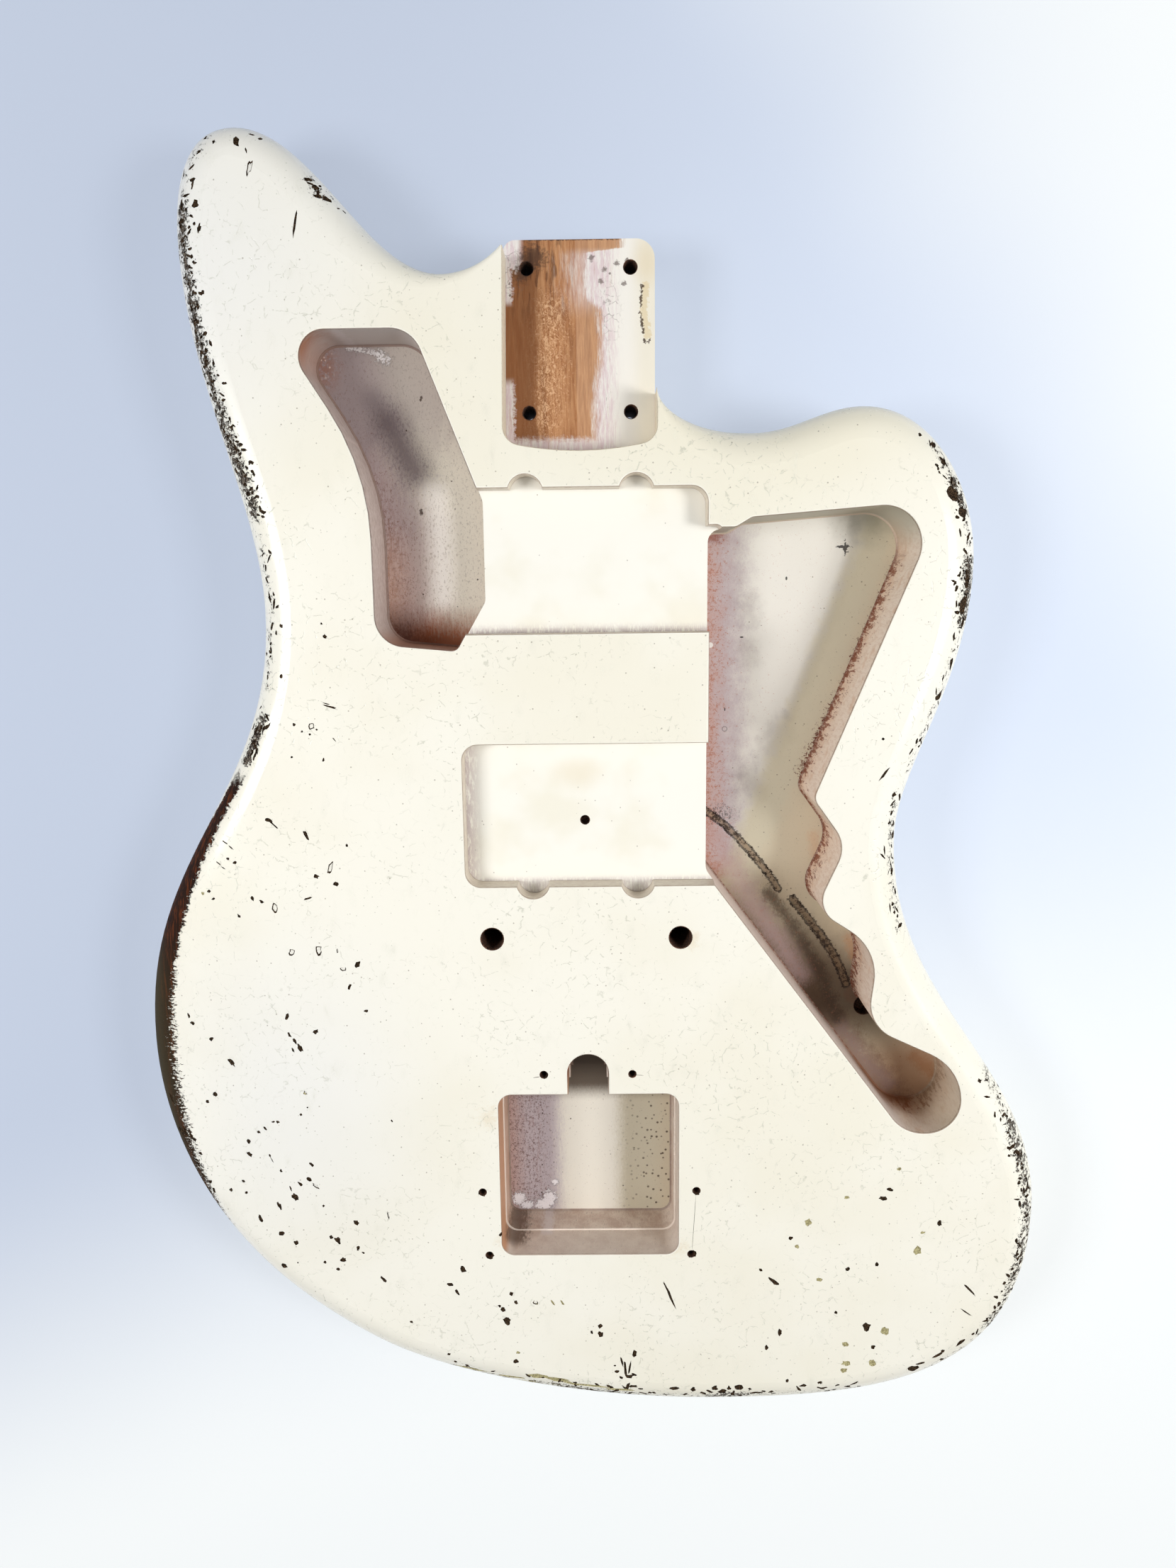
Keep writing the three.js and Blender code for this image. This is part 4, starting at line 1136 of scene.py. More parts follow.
# A painted shadow in the upper treble corner
corner_shade = control_floor.near(112, 161, 19, 15, blotch.sway(0.5), 0)
control_floor.coat(corner_shade * 0.7, shade(134, 130, 112))
# Rust along the treble wall
fleck = control_floor.trail(control_view.spots(RUST_FLECKS, CONTROL_DEPTH), 5, ragged * 3, 0)
fleck = control_floor.noise(1.1, 5, 0.8, shift=9) - 0.66 + fleck * 0.22
control_floor.coat(fleck.from_to(0, 0.04) * 0.95, shade(104, 40, 22))
# The lower end is stained brown, and painted shade darkens the narrow stretch before it.
channel = (x - 127).from_to(-16, 8) * y.from_to(-48, -66)
control_floor.coat(channel * 0.6, shade(170, 112, 74))
rusty = 0.25 + 0.35 * y.from_to(-12, -32)
control_floor.coat(lower * inward.from_to(12, 2) * rusty, shade(110, 64, 48))
narrow_painted_shade = (y + blotch.sway(10) + (x - 100) * 0.5).from_to(2, -26) * y.from_to(-62, -40)
control_floor.coat(narrow_painted_shade * 0.82, shade(84, 62, 42))
# Down the channel the mist is mauve along the bass wall and amber in the lobes, with a painted
# shadow down its middle.
dappled = control_floor.noise(1.1, 5, 0.85, stretch=(1, 1.4, 1), shift=21)
for points, half_width, strength, tint in CHANNEL_MIST_AND_SHADOW_RUNS:
    places = channel_view.spots(points, CONTROL_DEPTH)
    patch = control_floor.trail(places, half_width, grain.sway(1.6) + (blotch - 0.5), 0)
    control_floor.coat(patch * strength, tint)
    speckle = patch * dappled.from_to(0.55, 0.62)
    control_floor.coat(speckle * strength * 0.6, SPECK_RED)
# Rust in the upper bass corner, and two trails of old glue that are dark along their edges
corner = control_floor.near(51, 156, 9, 6, ragged * 2, 0.2)
control_floor.coat(corner * 0.7, RUST)
for points, half_width, tint in (
    (UPPER_GLUE, 0.95, GLUE_GREY), (LOWER_GLUE, 1.25, shade(132, 108, 82)),
):
    wavy = ragged * 2.2
    inside = control_floor.trail(points, half_width, wavy, 0.8)
    edge = control_floor.trail(points, half_width + 0.8, wavy, 0.9) * (1 - inside)
    control_floor.coat(inside * 0.8, tint)
    bits = control_floor.noise(2.2, 5, 0.8, shift=4).from_to(0.5, 0.54)
    control_floor.coat(edge * (0.75 + 0.25 * bits), GLUE_EDGE)
    control_floor.coat(inside * bits * 0.85, GLUE_EDGE)
# A patch of loose glue beside the upper trail, and a tongue of it below the lower one
loose = control_floor.near(55, 43, 9, 5, ragged * 3, 0.3)
control_floor.coat(loose * grain.from_to(0.5, 0.56) * 0.8, GLUE_EDGE)
tongue = control_floor.near(112.5, -36, 4.2, 5, ragged * 1.2, 0.7)
control_floor.coat(tongue * 0.7, shade(124, 98, 78))
# A ring, a blot like a star, three small marks and a white dot
ring = control_floor.near(57, 78, 1.2, rim=0.9) - control_floor.near(57, 78, 0.8, rim=0.9)
star = control_floor.near(103, 150, 3, 0.55, ragged * 4, 0.8)
star = star.most(control_floor.near(104, 150.2, 0.5, 3.2, ragged * 4, 0.8))
star = star.most(control_floor.near(104.3, 149.5, 1.2, ragged=ragged * 6, rim=0.8))
marks = (ring * 0.5).most(star)
for mark_x, mark_y, wide, high in (
    (81, 138, 0.5, 0.9), (63.5, 115, 0.9, 0.4), (57, 86, 0.3, 0.9),
):
    marks = marks.most(control_floor.near(mark_x, mark_y, wide, high))
control_floor.coat(marks * 0.9, CHIP_DARK)
control_floor.coat(control_floor.near(51, 112, 1.2, rim=0.8), shade(250, 246, 240))
control_floor.paint(Base_Color=control_floor.colour)
control_floor.bump(grain * 0.3, 0.1)

# The walls: pale pink, or warm and rusty, by the way that they face, and painted shade in grey
# green on those that face the tail
control_wall = Finish("control_cavity_wall", Roughness=0.5, Specular_IOR_Level=0.3)
x, y, z = control_wall.x, control_wall.y, control_wall.z
rough = control_wall.noise(1.1, 6, 0.75, stretch=(1, 1, 4))
broad = control_wall.noise(7, 4, 0.6, shift=5)
control_wall.base(rough.from_to(0.44, 0.64) * 0.6, shade(240, 224, 208), shade(216, 190, 168))
# Painted shade in grey green on the walls that face the tail
tail_facing_shade = control_wall.facing[1].from_to(-0.4, -0.95)
control_wall.coat(tail_facing_shade, shade(186, 178, 160))
pale = control_wall.facing[0].from_to(0.2, 0.7)
control_wall.coat(pale * 0.85, shade(234, 222, 214))
control_wall.coat(broad.from_to(0.52, 0.68) * (1 - pale) * 0.5, shade(214, 176, 146))
# Painted shade, grey, on the walls at the upper end
control_wall.coat(y.from_to(146, 158) * 0.8, shade(190, 188, 172))
low_down = (z + broad.sway(16)).from_to(36, 13)
spots = control_wall.noise(1.5, 5, 0.8, stretch=(1, 1, 4.5), shift=12)
spots = (spots - 0.66 + low_down * 0.19).from_to(0, 0.03)
facing_bass = (1 - pale) * (1 - tail_facing_shade)
control_wall.coat(low_down * facing_bass * 0.25, shade(208, 152, 112))
control_wall.coat(spots * facing_bass * y.from_to(150, 140) * 0.9, shade(132, 66, 40))
control_wall.coat(z.from_to(14, 12.9) * y.from_to(156, 146) * 0.6, shade(112, 66, 44))
under = y.from_to(-50, -70) * (z + broad.sway(10)).from_to(34, 14)
control_wall.coat(under * (0.9 - 0.6 * x.from_to(134, 146)), shade(140, 92, 62))
control_wall.coat(y.from_to(-56, -66) * x.from_to(134, 146) * 0.5, shade(206, 192, 164))
line_under_rim(control_wall, rough, 1.6, (43.5, 43.9), 0.6, shade(120, 92, 68))
olive = control_wall.trail(((104, 63), (119, 100)), 1.6, rough.sway(4), 0.4) * z.from_to(38, 42)
control_wall.coat(olive * 0.7, shade(140, 118, 60))
cream_mouth(control_wall)
control_wall.paint(Base_Color=control_wall.colour)

rout("control_cavity", cavity_points(
    control_corner_shares, CONTROL_INNER, 1, CONTROL_LOW, CONTROL_WIDTH, CONTROL_LENGTH,
), CONTROL_DEPTH, control_wall, control_floor, foot=CAVITY_FOOT)
rout("wire_hole", circle(*WIRE_HOLE_PLACE, WIRE_HOLE_DIAMETER), WIRE_HOLE_DEPTH, bore, bore,
     SHARP_RIM, top=BODY_THICKNESS - CONTROL_DEPTH)


# Two holes for the cups that the bridge's posts stand in, drilled into the face. Their bores
# are bare wood, worn dark.
POST_OFFSET = 0.0369
POST_DIAMETER = 0.0086
POST_DEPTH = 0.030
POST_RIM = 0.0004
POST_SIDES = 32
for side in (-1, 1):
    points = circle(side * POST_OFFSET, 0, POST_DIAMETER, POST_SIDES)
    rout("post_hole", points, POST_DEPTH, bore, bore, POST_RIM)


# The tremolo's rout: two passes of the router, the deeper one a little smaller, with a slot
# for the foot of its arm, and six holes for the plate's screws round it.
TREMOLO_HALF_WIDTH = 0.0362
TREMOLO_HIGH = -0.0655
TREMOLO_LOW = TREMOLO_HIGH - 0.0703
TREMOLO_DEPTH = 0.03175
TREMOLO_FIRST_PASS = 0.0175
TREMOLO_STEP = 0.0006
TREMOLO_CORNER = 0.0052
SLOT_HALF_WIDTH = 0.0081
SLOT_HIGH = TREMOLO_HIGH + 0.017
SLOT_ROUNDING_SHARE = 0.98
SCREW_SPAN = 0.0873
SCREW_HIGH = -0.0567
SCREW_LENGTH = 0.0792
SCREW_DIAMETER = 0.0028
SCREW_DEPTH = 0.019
SCREW_SIDES = 16
# How far apart the two screws of a row are, and how far down the plate, as shares
SCREW_ROW_SHARES = ((0.407, 0), (1, 0.643), (0.954, 1))

# The floor: pale mist, brown to the bass side and grey green to the treble side, partly the mist's
# own colour and partly painted shade by the side walls
tremolo_floor = Finish("tremolo_rout_floor", Roughness=0.55, Specular_IOR_Level=0.25)
x, y = tremolo_floor.x, tremolo_floor.y
grain = tremolo_floor.noise(0.7, 5, 0.85, stretch=(1, 2, 1))
streak = tremolo_floor.noise(1.0, 6, 0.75, stretch=(1, 6, 1), shift=3)
ragged = tremolo_floor.noise(0.9, 6, 0.8, shift=6) - 0.5
across = x + grain.sway(9) + streak.sway(7)
# Darker toward both side walls, partly mist and partly painted shade
tremolo_floor.base(across.from_to(-18, -9), shade(202, 190, 194), shade(238, 232, 218))
tremolo_floor.coat(across.from_to(-26, -36) * 0.6, shade(190, 144, 122))
tremolo_floor.coat(across.from_to(9, 17) * 0.85, shade(206, 196, 170))
tremolo_floor.coat(across.from_to(26, 37) * 0.3, shade(206, 182, 150))
# Only through the slot can the floor's upper end be seen, and no light reaches it.
slot_end = (y + grain.sway(3)).from_to(-84, -75)
tremolo_floor.coat(slot_end * 0.95, shade(88, 74, 60))
freckled = streak.from_to(0.52, 0.64) * across.from_to(-12, -22)
tremolo_floor.coat(freckled * 0.35, BROWN_STREAK)
showing = tremolo_floor.noise(0.9, 5, 0.85, stretch=(1, 1.5, 1), shift=17)
showing = (showing - 0.62 + 0.1 * across.from_to(-10, -24)).from_to(0, 0.05)
tremolo_floor.coat(showing * 0.8, shade(118, 90, 82))
# Dark dots, thickest by the treble wall
dots = tremolo_floor.specks(2.2, 0.75, 0.3) * (x + ragged * 16).from_to(8, 30)
dots = dots.most(tremolo_floor.specks(4.4, 0.45, 0.12))
tremolo_floor.coat(dots * 0.85, SMUDGE)
# Chalky patches in the lower bass corner
chalk = 0
for patch_x, patch_y, wide, high in (
    (-31.4, -129.4, 3, 3.2), (-28.2, -132.4, 3, 2), (-20.4, -132, 3.6, 3),
    (-18, -129.4, 3, 4.2), (-23.6, -132.8, 1.2, 1), (-15.5, -121.5, 1.5, 1.5),
):
    patch = tremolo_floor.near(patch_x, patch_y, wide, high, ragged * 4, 0.85)
    chalk = patch if chalk == 0 else chalk.most(patch)
torn = tremolo_floor.noise(0.6, 4, 0.7, shift=12).from_to(0.6, 0.66)
tremolo_floor.coat(chalk * (1 - torn * 0.6), shade(255, 250, 252))
tremolo_floor.paint(Base_Color=tremolo_floor.colour)
tremolo_floor.bump(grain * 0.3 + chalk, 0.15)

# The walls: pale and speckled, browner on the bass side, with painted shade in the slot
tremolo_wall = Finish("tremolo_rout_wall", Roughness=0.5, Specular_IOR_Level=0.3)
x, y, z = tremolo_wall.x, tremolo_wall.y, tremolo_wall.z
rough = tremolo_wall.noise(0.9, 6, 0.8, stretch=(1, 1, 3))
broad = tremolo_wall.noise(8, 4, 0.6, shift=5)
tremolo_wall.base((rough * 0.5 + broad * 0.5).from_to(0.42, 0.6),
                  shade(226, 212, 198), shade(198, 176, 162))
speckle = rough.from_to(0.54, 0.62) * z.from_to(27, 32)
tremolo_wall.coat(speckle * 0.7, shade(236, 228, 216))
tremolo_wall.coat(rough.from_to(0.44, 0.38) * 0.5, shade(134, 106, 94))
tremolo_wall.coat(z.from_to(25, 28) * 0.4, shade(238, 228, 216))
bass_wall = tremolo_wall.facing[0].from_to(0.4, 0.9)
tremolo_wall.coat(bass_wall * (0.5 + 0.5 * z.from_to(26, 28)), shade(202, 152, 118))
# Painted shade in the slot
slot_painted_shade = (y + rough.sway(8)).from_to(-64, -56)
tremolo_wall.coat(slot_painted_shade * 0.8, shade(84, 68, 56))
# Rust in the slot, and dirt and a run of chalk low on the walls
rim_rust = tremolo_wall.near(-8.5, -56, 3, 7, rough.sway(3), 0.4) * rough.from_to(0.46, 0.52)
tremolo_wall.coat(rim_rust * 0.9, RUST)
foot = tremolo_wall.near(-33.5, -136.5, 9.5, 6, rough.sway(2), 0.4) * z.from_to(41, 33)
tremolo_wall.coat(foot * 0.8, shade(96, 74, 56))
run = tremolo_wall.trail(((-18, -135), (-20, -137.5)), 3, rough.sway(2.5), 0.3)
tremolo_wall.coat(run * z.from_to(32, 28) * 0.6, CHALK)
line_under_rim(tremolo_wall, rough, 1.2, (43.6, 44), 0.5, RIM_BROWN)
cream_mouth(tremolo_wall)
# The ledge that the second pass leaves gets a paler painted highlight along its top.
ledge_highlight = tremolo_wall.facing[2].from_to(0.5, 0.8) * z.from_to(30, 28) * z.from_to(20, 22)
tremolo_wall.coat(ledge_highlight * 0.8, shade(246, 234, 220))
tremolo_wall.coat(z.from_to(13.6, 12.9) * 0.6, shade(112, 84, 70))
tremolo_wall.paint(Base_Color=tremolo_wall.colour)


def tremolo_points(step):
    side = TREMOLO_HALF_WIDTH - step
    slot = SLOT_HALF_WIDTH - step
    return rounded([
        (-side, TREMOLO_LOW + step, TREMOLO_CORNER),
        (side, TREMOLO_LOW + step, TREMOLO_CORNER),
        (side, TREMOLO_HIGH - step, TREMOLO_CORNER),
        (slot, TREMOLO_HIGH - step, 0),
        (slot, SLOT_HIGH - step, slot * SLOT_ROUNDING_SHARE),
        (-slot, SLOT_HIGH - step, slot * SLOT_ROUNDING_SHARE),
        (-slot, TREMOLO_HIGH - step, 0),
        (-side, TREMOLO_HIGH - step, TREMOLO_CORNER),
    ])


rout("tremolo_first_pass", tremolo_points(0), TREMOLO_FIRST_PASS, tremolo_wall, tremolo_wall)
rout("tremolo_second_pass", tremolo_points(TREMOLO_STEP), TREMOLO_DEPTH - TREMOLO_FIRST_PASS,
     tremolo_wall, tremolo_floor, SHARP_RIM, CAVITY_FOOT, BODY_THICKNESS - TREMOLO_FIRST_PASS)
for spacing, along in SCREW_ROW_SHARES:
    for side in (-1, 1):
        screw_x = side * spacing * SCREW_SPAN / 2
        points = circle(screw_x, SCREW_HIGH - along * SCREW_LENGTH, SCREW_DIAMETER,
                        SCREW_SIDES)
        rout("plate_screw_hole", points, SCREW_DEPTH, bore, bore, SHARP_RIM)


# The dings. Years of knocks, or a builder's tools, have broken pits through the lacquer into
# dark wood; a few are only pressed in and stained, or long scratches.
EYE = Vector(VIEW_PLACE)
DING_SEED = 11
CHIP_CORNERS = 11
PIT_FLOOR_SHARE = 0.68
PIT_MOUTH_SHARE = 1.12
PIT_OVERRUN = 0.0005
FLAKE_DENSITY = 0.045
FLAKE_SCATTER = 1.5
FLAKE_LENGTH = (3, 10)
FLAKE_WIDTH = (2.5, 5)
FLAKE_DEPTH = (0.0002, 0.0005)
NARROW_RUN = 5
NARROW_FLAKE_LENGTH = (4, 15)
NARROW_FLAKE_TURN = 25
STEEPEST = 0.15
FLATTEST = 0.995
DING_DEPTH = {"dark": 0.00045, "ringed": 0.0004, "amber": 0.0003, "scratch": 0.00025}

horn = Enlargement(220, 160, 3.2667)
bass_face = Enlargement(410, 440, 3.2)
bass_side = Enlargement(210, 1040, 3.0154)
bass_bout = Enlargement(300, 1480, 3.409)
treble_bout = Enlargement(820, 1600, 2.3758)
treble_side = Enlargement(1220, 560, 2.529)
treble_waist = Enlargement(980, 1100, 3.0154)
tremolo = Enlargement(660, 1470, 4.7515)

# Each ding: place across and down in the enlargement, length, width, and the slant of its
# length in degrees, down to the right.
dings = (
    (bass_bout, "dark", (
        (12, 217, 22, 18, 0), (93, 62, 36, 14, 45), (456, 281, 8, 8, 0), (425, 315, 14, 10, 0),
        (313, 350, 14, 14, 0), (292, 350, 14, 8, 0), (222, 398, 16, 14, 40),
        (252, 381, 18, 8, 50), (173, 443, 16, 20, 0), (178, 505, 28, 16, 45),
        (275, 512, 10, 12, 0), (328, 585, 14, 14, 0), (477, 556, 26, 14, 45),
        (148, 634, 14, 10, 30), (88, 676, 16, 16, 0), (163, 690, 14, 12, 0),
        (422, 649, 28, 12, 45), (465, 626, 24, 22, 30), (398, 712, 36, 24, 60),
        (534, 754, 12, 12, 0), (322, 755, 36, 16, 60), (232, 815, 34, 16, 60),
        (331, 886, 24, 22, 30), (401, 931, 22, 20, 0), (570, 905, 18, 16, 0),
        (603, 920, 34, 22, 50), (690, 833, 26, 22, 45), (700, 957, 14, 22, 0),
        (725, 980, 16, 8, 30), (861, 345, 14, 7, 60), (628, 1013, 24, 22, 0),
        (604, 1058, 16, 14, 0), (541, 1025, 14, 12, 45), (345, 1042, 22, 26, 0),
        (410, 1027, 8, 6, 0), (823, 1108, 38, 12, 45), (1203, 1058, 32, 22, 50),
        (1141, 1132, 26, 18, 20), (1177, 1170, 30, 12, 60), (1436, 1177, 16, 22, 0),
        (1458, 1218, 18, 18, 0), (1397, 1252, 22, 20, 0), (1380, 1236, 12, 12, 0),
        (1417, 1308, 24, 40, -30), (1136, 1468, 16, 12, 0), (1460, 1500, 22, 18, -20),
        (956, 1312, 16, 10, 30),
    )),
    (bass_bout, "ringed", (
        (446, 211, 18, 10, 60), (497, 660, 34, 14, 40), (844, 799, 34, 8, 80),
        (1553, 1220, 20, 20, 45),
    )),
    (bass_bout, "amber", (
        (1469, 1459, 16, 12, 0), (1554, 1220, 24, 9, 55), (1636, 1220, 26, 9, 55),
        (1681, 1220, 26, 9, 55),
    )),
    (bass_bout, "scratch", ((285, 532, 30, 4, 60), (376, 672, 26, 7, 70))),
    (treble_bout, "dark", (
        (63, 643, 16, 14, 0), (65, 672, 16, 22, 0), (35, 664, 8, 12, 0), (178, 737, 14, 22, 0),
        (136, 762, 36, 6, 75), (148, 790, 52, 7, 84), (163, 782, 46, 6, 100),
        (120, 796, 14, 9, 0), (134, 816, 14, 8, 30), (176, 806, 16, 8, 20),
        (160, 812, 22, 12, 0), (112, 776, 8, 6, 0), (602, 455, 10, 10, 0),
        (643, 492, 34, 14, 35), (701, 348, 14, 12, 0), (853, 597, 10, 10, 0),
        (892, 453, 12, 14, 0), (990, 437, 10, 14, 0), (957, 647, 22, 24, 0),
        (978, 713, 12, 12, 0), (1115, 785, 36, 24, 0), (1012, 215, 28, 14, 10),
        (1035, 186, 18, 10, 20), (1200, 298, 16, 16, 0), (665, 664, 12, 20, 0),
        (620, 715, 10, 14, 0), (690, 827, 8, 12, 0), (800, 832, 14, 10, 0),
        (375, 855, 14, 16, 0), (530, 850, 26, 24, 0), (448, 852, 20, 18, 30),
        (474, 862, 26, 16, -10), (495, 852, 12, 16, 0), (893, 846, 18, 10, 0),
        (912, 850, 14, 8, 20), (930, 845, 12, 9, 0),
    )),
    (treble_bout, "amber", (
        (723, 377, 12, 12, 0), (760, 295, 22, 22, 0), (797, 487, 18, 14, 0),
        (1017, 660, 22, 22, 0), (887, 704, 24, 16, 30), (975, 765, 20, 20, 0),
        (887, 768, 24, 16, 0), (880, 792, 20, 14, 0), (1126, 390, 22, 26, 0),
        (1145, 330, 14, 8, 0), (1065, 117, 12, 10, 0), (890, 212, 18, 10, 0),
    )),
    (treble_bout, "scratch", (
        (293, 532, 92, 7, 66), (1302, 522, 50, 7, 45), (1290, 597, 40, 4, 35),
    )),
    (bass_side, "dark", (
        (508, 352, 34, 14, 20), (530, 372, 44, 7, 42), (743, 96, 16, 8, -70),
        (607, 85, 10, 8, 0), (668, 416, 38, 14, 65), (842, 460, 12, 12, 0),
        (712, 592, 22, 18, 0), (797, 626, 24, 20, 0), (677, 686, 32, 8, -15),
        (336, 517, 12, 10, 0), (365, 533, 14, 12, 0), (255, 655, 14, 12, 0),
        (440, 687, 20, 12, 60), (383, 760, 18, 10, 50), (275, 687, 16, 8, -20),
        (480, 700, 20, 10, 30), (888, 968, 34, 20, -60), (854, 1062, 26, 12, -60),
        (925, 1165, 16, 12, 0), (588, 1186, 30, 14, -80), (710, 1253, 26, 16, -50),
        (597, 1265, 26, 10, 60), (621, 1294, 28, 12, 60), (643, 1322, 34, 16, 60),
        (613, 1330, 22, 10, 60), (185, 1215, 20, 16, 30), (170, 1185, 20, 8, 70),
        (265, 1283, 18, 16, 0), (618, -54, 15, 12, 0), (651, -24, 9, 9, 0), (713, -33, 9, 9, 0),
        (684, -12, 9, 9, 0), (350, 1383, 40, 14, 50), (282, 1519, 18, 18, 0),
        (250, 1550, 14, 12, 0),
    )),
    (bass_side, "ringed", (
        (772, 557, 60, 18, -75), (535, 727, 22, 36, 0), (608, 915, 24, 30, 0),
        (722, 905, 26, 40, 0), (802, 908, 6, 22, 0), (825, 986, 26, 16, 0),
        (690, -48, 28, 26, 0),
    )),
    (bass_side, "amber", ((230, 664, 14, 12, 0), (665, 1514, 14, 14, 0))),
    (bass_side, "scratch", (
        (769, -130, 54, 8, 15), (757, -142, 30, 5, 12), (788, 10, 24, 5, 50),
        (325, 448, 30, 5, 35), (350, 470, 24, 5, 40), (296, 536, 26, 5, 40),
        (316, 556, 22, 4, 35),
    )),
    (horn, "dark", (
        (370, 130, 50, 20, 80), (440, 97, 20, 10, 20), (480, 117, 24, 12, -20),
        (703, 304, 34, 20, 0), (738, 342, 34, 26, 30), (746, 382, 34, 22, 10),
        (790, 396, 40, 26, 20), (868, 455, 18, 10, 40), (840, 438, 14, 8, 0),
        (180, 420, 30, 30, 0), (197, 530, 34, 14, -75), (265, 130, 12, 16, 0),
    )),
    (horn, "ringed", ((429, 250, 60, 16, -75),)),
    (horn, "scratch", ((415, 170, 24, 6, 75), (638, 520, 100, 8, -82), (648, 464, 16, 5, -80))),
    (bass_face, "dark", ((139, 1407, 10, 10, 0), (155, 1465, 20, 16, 30))),
    (treble_side, "dark", (
        (196, 134, 14, 14, 0), (243, 170, 26, 22, 0), (280, 232, 24, 30, 0),
        (315, 345, 44, 50, 0), (350, 410, 50, 36, 0), (352, 740, 36, 70, 0),
        (365, 660, 24, 50, 0), (350, 805, 22, 30, 0), (308, 955, 44, 22, -80),
        (262, 1070, 40, 28, -40), (65, 1220, 10, 10, 0), (103, 1420, 14, 14, 0),
        (101, 1557, 20, 20, 0),
    )),
    (treble_side, "scratch", ((70, 1345, 60, 10, -50),)),
    (treble_waist, "dark", (
        (848, 62, 20, 18, 0), (843, 235, 30, 30, -40), (838, 390, 22, 34, 0),
        (853, 475, 14, 26, 0), (842, 528, 16, 16, 0), (148, 519, 20, 10, 45),
        (437, 872, 18, 10, 45), (480, 925, 14, 10, 45),
    )),
    (whole, "amber", (
        (662, 1930, 60, 4, 12), (722, 1942, 40, 4, 8), (758, 1941, 26, 7, 5),
        (786, 1946, 34, 6, 8), (836, 1955, 60, 4, 6), (872, 1960, 40, 4, 4),
        (803, 1951, 24, 4, 14), (744, 1948, 30, 3, 8),
    )),
    (tremolo, "dark", (
        (513, 222, 44, 40, 30), (101, 1011, 50, 44, 0), (149, 1432, 52, 42, 20),
        (1500, 1421, 50, 46, 0), (1534, 1001, 48, 44, 0), (1104, 216, 48, 44, 10),
        (222, 1290, 26, 34, 30),
    )),
    (tremolo, "scratch", (
        (1516, 1210, 380, 3, 94), (462, 236, 46, 4, -8), (1150, 222, 60, 3, 5),
    )),
)

# Dark wood in the pits, and a yellow stain in those that are only pressed in
ding_wood = Finish("wood_in_dings", Roughness=0.8, Specular_IOR_Level=0.1)
ding_wood.base(ding_wood.noise(0.5, 4, 0.75).from_to(0.46, 0.62),
               shade(30, 22, 14), shade(96, 74, 52))
ding_wood.paint(Base_Color=ding_wood.colour)
ding_stain = Finish("stained_dings", Roughness=0.5)
ding_stain.base(ding_stain.noise(0.5, 4, 0.7).from_to(0.4, 0.65),
                shade(196, 188, 140), shade(116, 102, 66))
ding_stain.paint(Base_Color=ding_stain.colour)
pit_finishes = {
    "dark": (ding_wood, ding_wood), "ringed": (ding_wood, lacquer),
    "amber": (ding_stain, ding_stain), "scratch": (ding_wood, ding_wood),
}
# The surface on which each ding finds its place
skin = BVHTree.FromPolygons(
    [vertex.co for vertex in blank.data.vertices],
    [polygon.vertices for polygon in blank.data.polygons],
)


def break_skin(pixel, length, width, slant, depth, finishes, dice):
    """A ragged pit where the photograph shows a pixel, its length and width in pixels."""
    hit, normal, _, reach = skin.ray_cast(EYE, sight(*pixel))
    slant = math.radians(slant)
    step = (pixel[0] + math.cos(slant), pixel[1] + math.sin(slant))
    beside = skin.ray_cast(EYE, sight(*step))[0]
    if hit is None or beside is None:
        return
    along = (beside - hit).normalized() * length / 2 * reach / FOCAL_PIXELS
    across = normal.cross(along).normalized() * width / 2 * reach / FOCAL_PIXELS
    arms = []
    for corner in range(CHIP_CORNERS):
        turn = 2 * math.pi * (corner + dice.uniform(-0.3, 0.3)) / CHIP_CORNERS
        arms.append((along * math.cos(turn) + across * math.sin(turn)) * dice.uniform(0.7, 1.35))
    rings = [
        [hit + normal * rise + spread * arm for arm in arms]
        for spread, rise in (
            (PIT_FLOOR_SHARE, -depth), (1, 0), (PIT_MOUTH_SHARE, PIT_OVERRUN),
        )
    ]
    routs.objects.link(loft("ding", rings, *finishes))


dice = random.Random(DING_SEED)
for close_up, kind, places in dings:
    for x, y, *size, slant in places:
        length, width = (part / close_up.scale for part in size)
        break_skin(close_up.pixel(x, y), length, width, slant, DING_DEPTH[kind],
                   pit_finishes[kind], dice)

# The worst of the edge has lost its lacquer in small flakes, but only where it rolls over.
# Along a narrow run they lie lengthwise.
for share, half_width, points in WORN_RUNS:
    for start, end in zip(points, points[1:]):
        start, end = Vector(start), Vector(end)
        for _ in range(round((end - start).length * half_width * share * FLAKE_DENSITY)):
            along = start.lerp(end, dice.random())
            aside = Vector((dice.gauss(0, 1), dice.gauss(0, 1)))
            pixel = along + aside * (half_width * FLAKE_SCATTER)
            length = dice.uniform(*FLAKE_LENGTH)
            width = dice.uniform(*FLAKE_WIDTH)
            slant = dice.uniform(0, 180)
            if half_width < NARROW_RUN:
                way = end - start
                length = dice.uniform(*NARROW_FLAKE_LENGTH)
                slant = math.degrees(math.atan2(way.y, way.x))
                slant += dice.gauss(0, NARROW_FLAKE_TURN)
            hit, normal, _, _ = skin.ray_cast(EYE, sight(*pixel))
            if hit is not None and STEEPEST < normal.z < FLATTEST:
                break_skin(pixel, length, width, slant, dice.uniform(*FLAKE_DEPTH),
                           pit_finishes["dark"], dice)


# The four boards. Each is the stretch of the routed body between two glue lines, the middle
# one just to the bass side of the centreline.
BOARD_WIDTH = 0.084
MIDDLE_JOINT = -0.0012
SHARP_ANGLE = math.radians(32)
SPAN_HALF_LENGTH = 0.4
SPAN_MARGIN = 0.01
NORMAL_WEIGHT = 90

glue_face = Finish("glue_face_wood")
glue_face.paint(Base_Color=WOOD_LIGHT, Roughness=0.7)


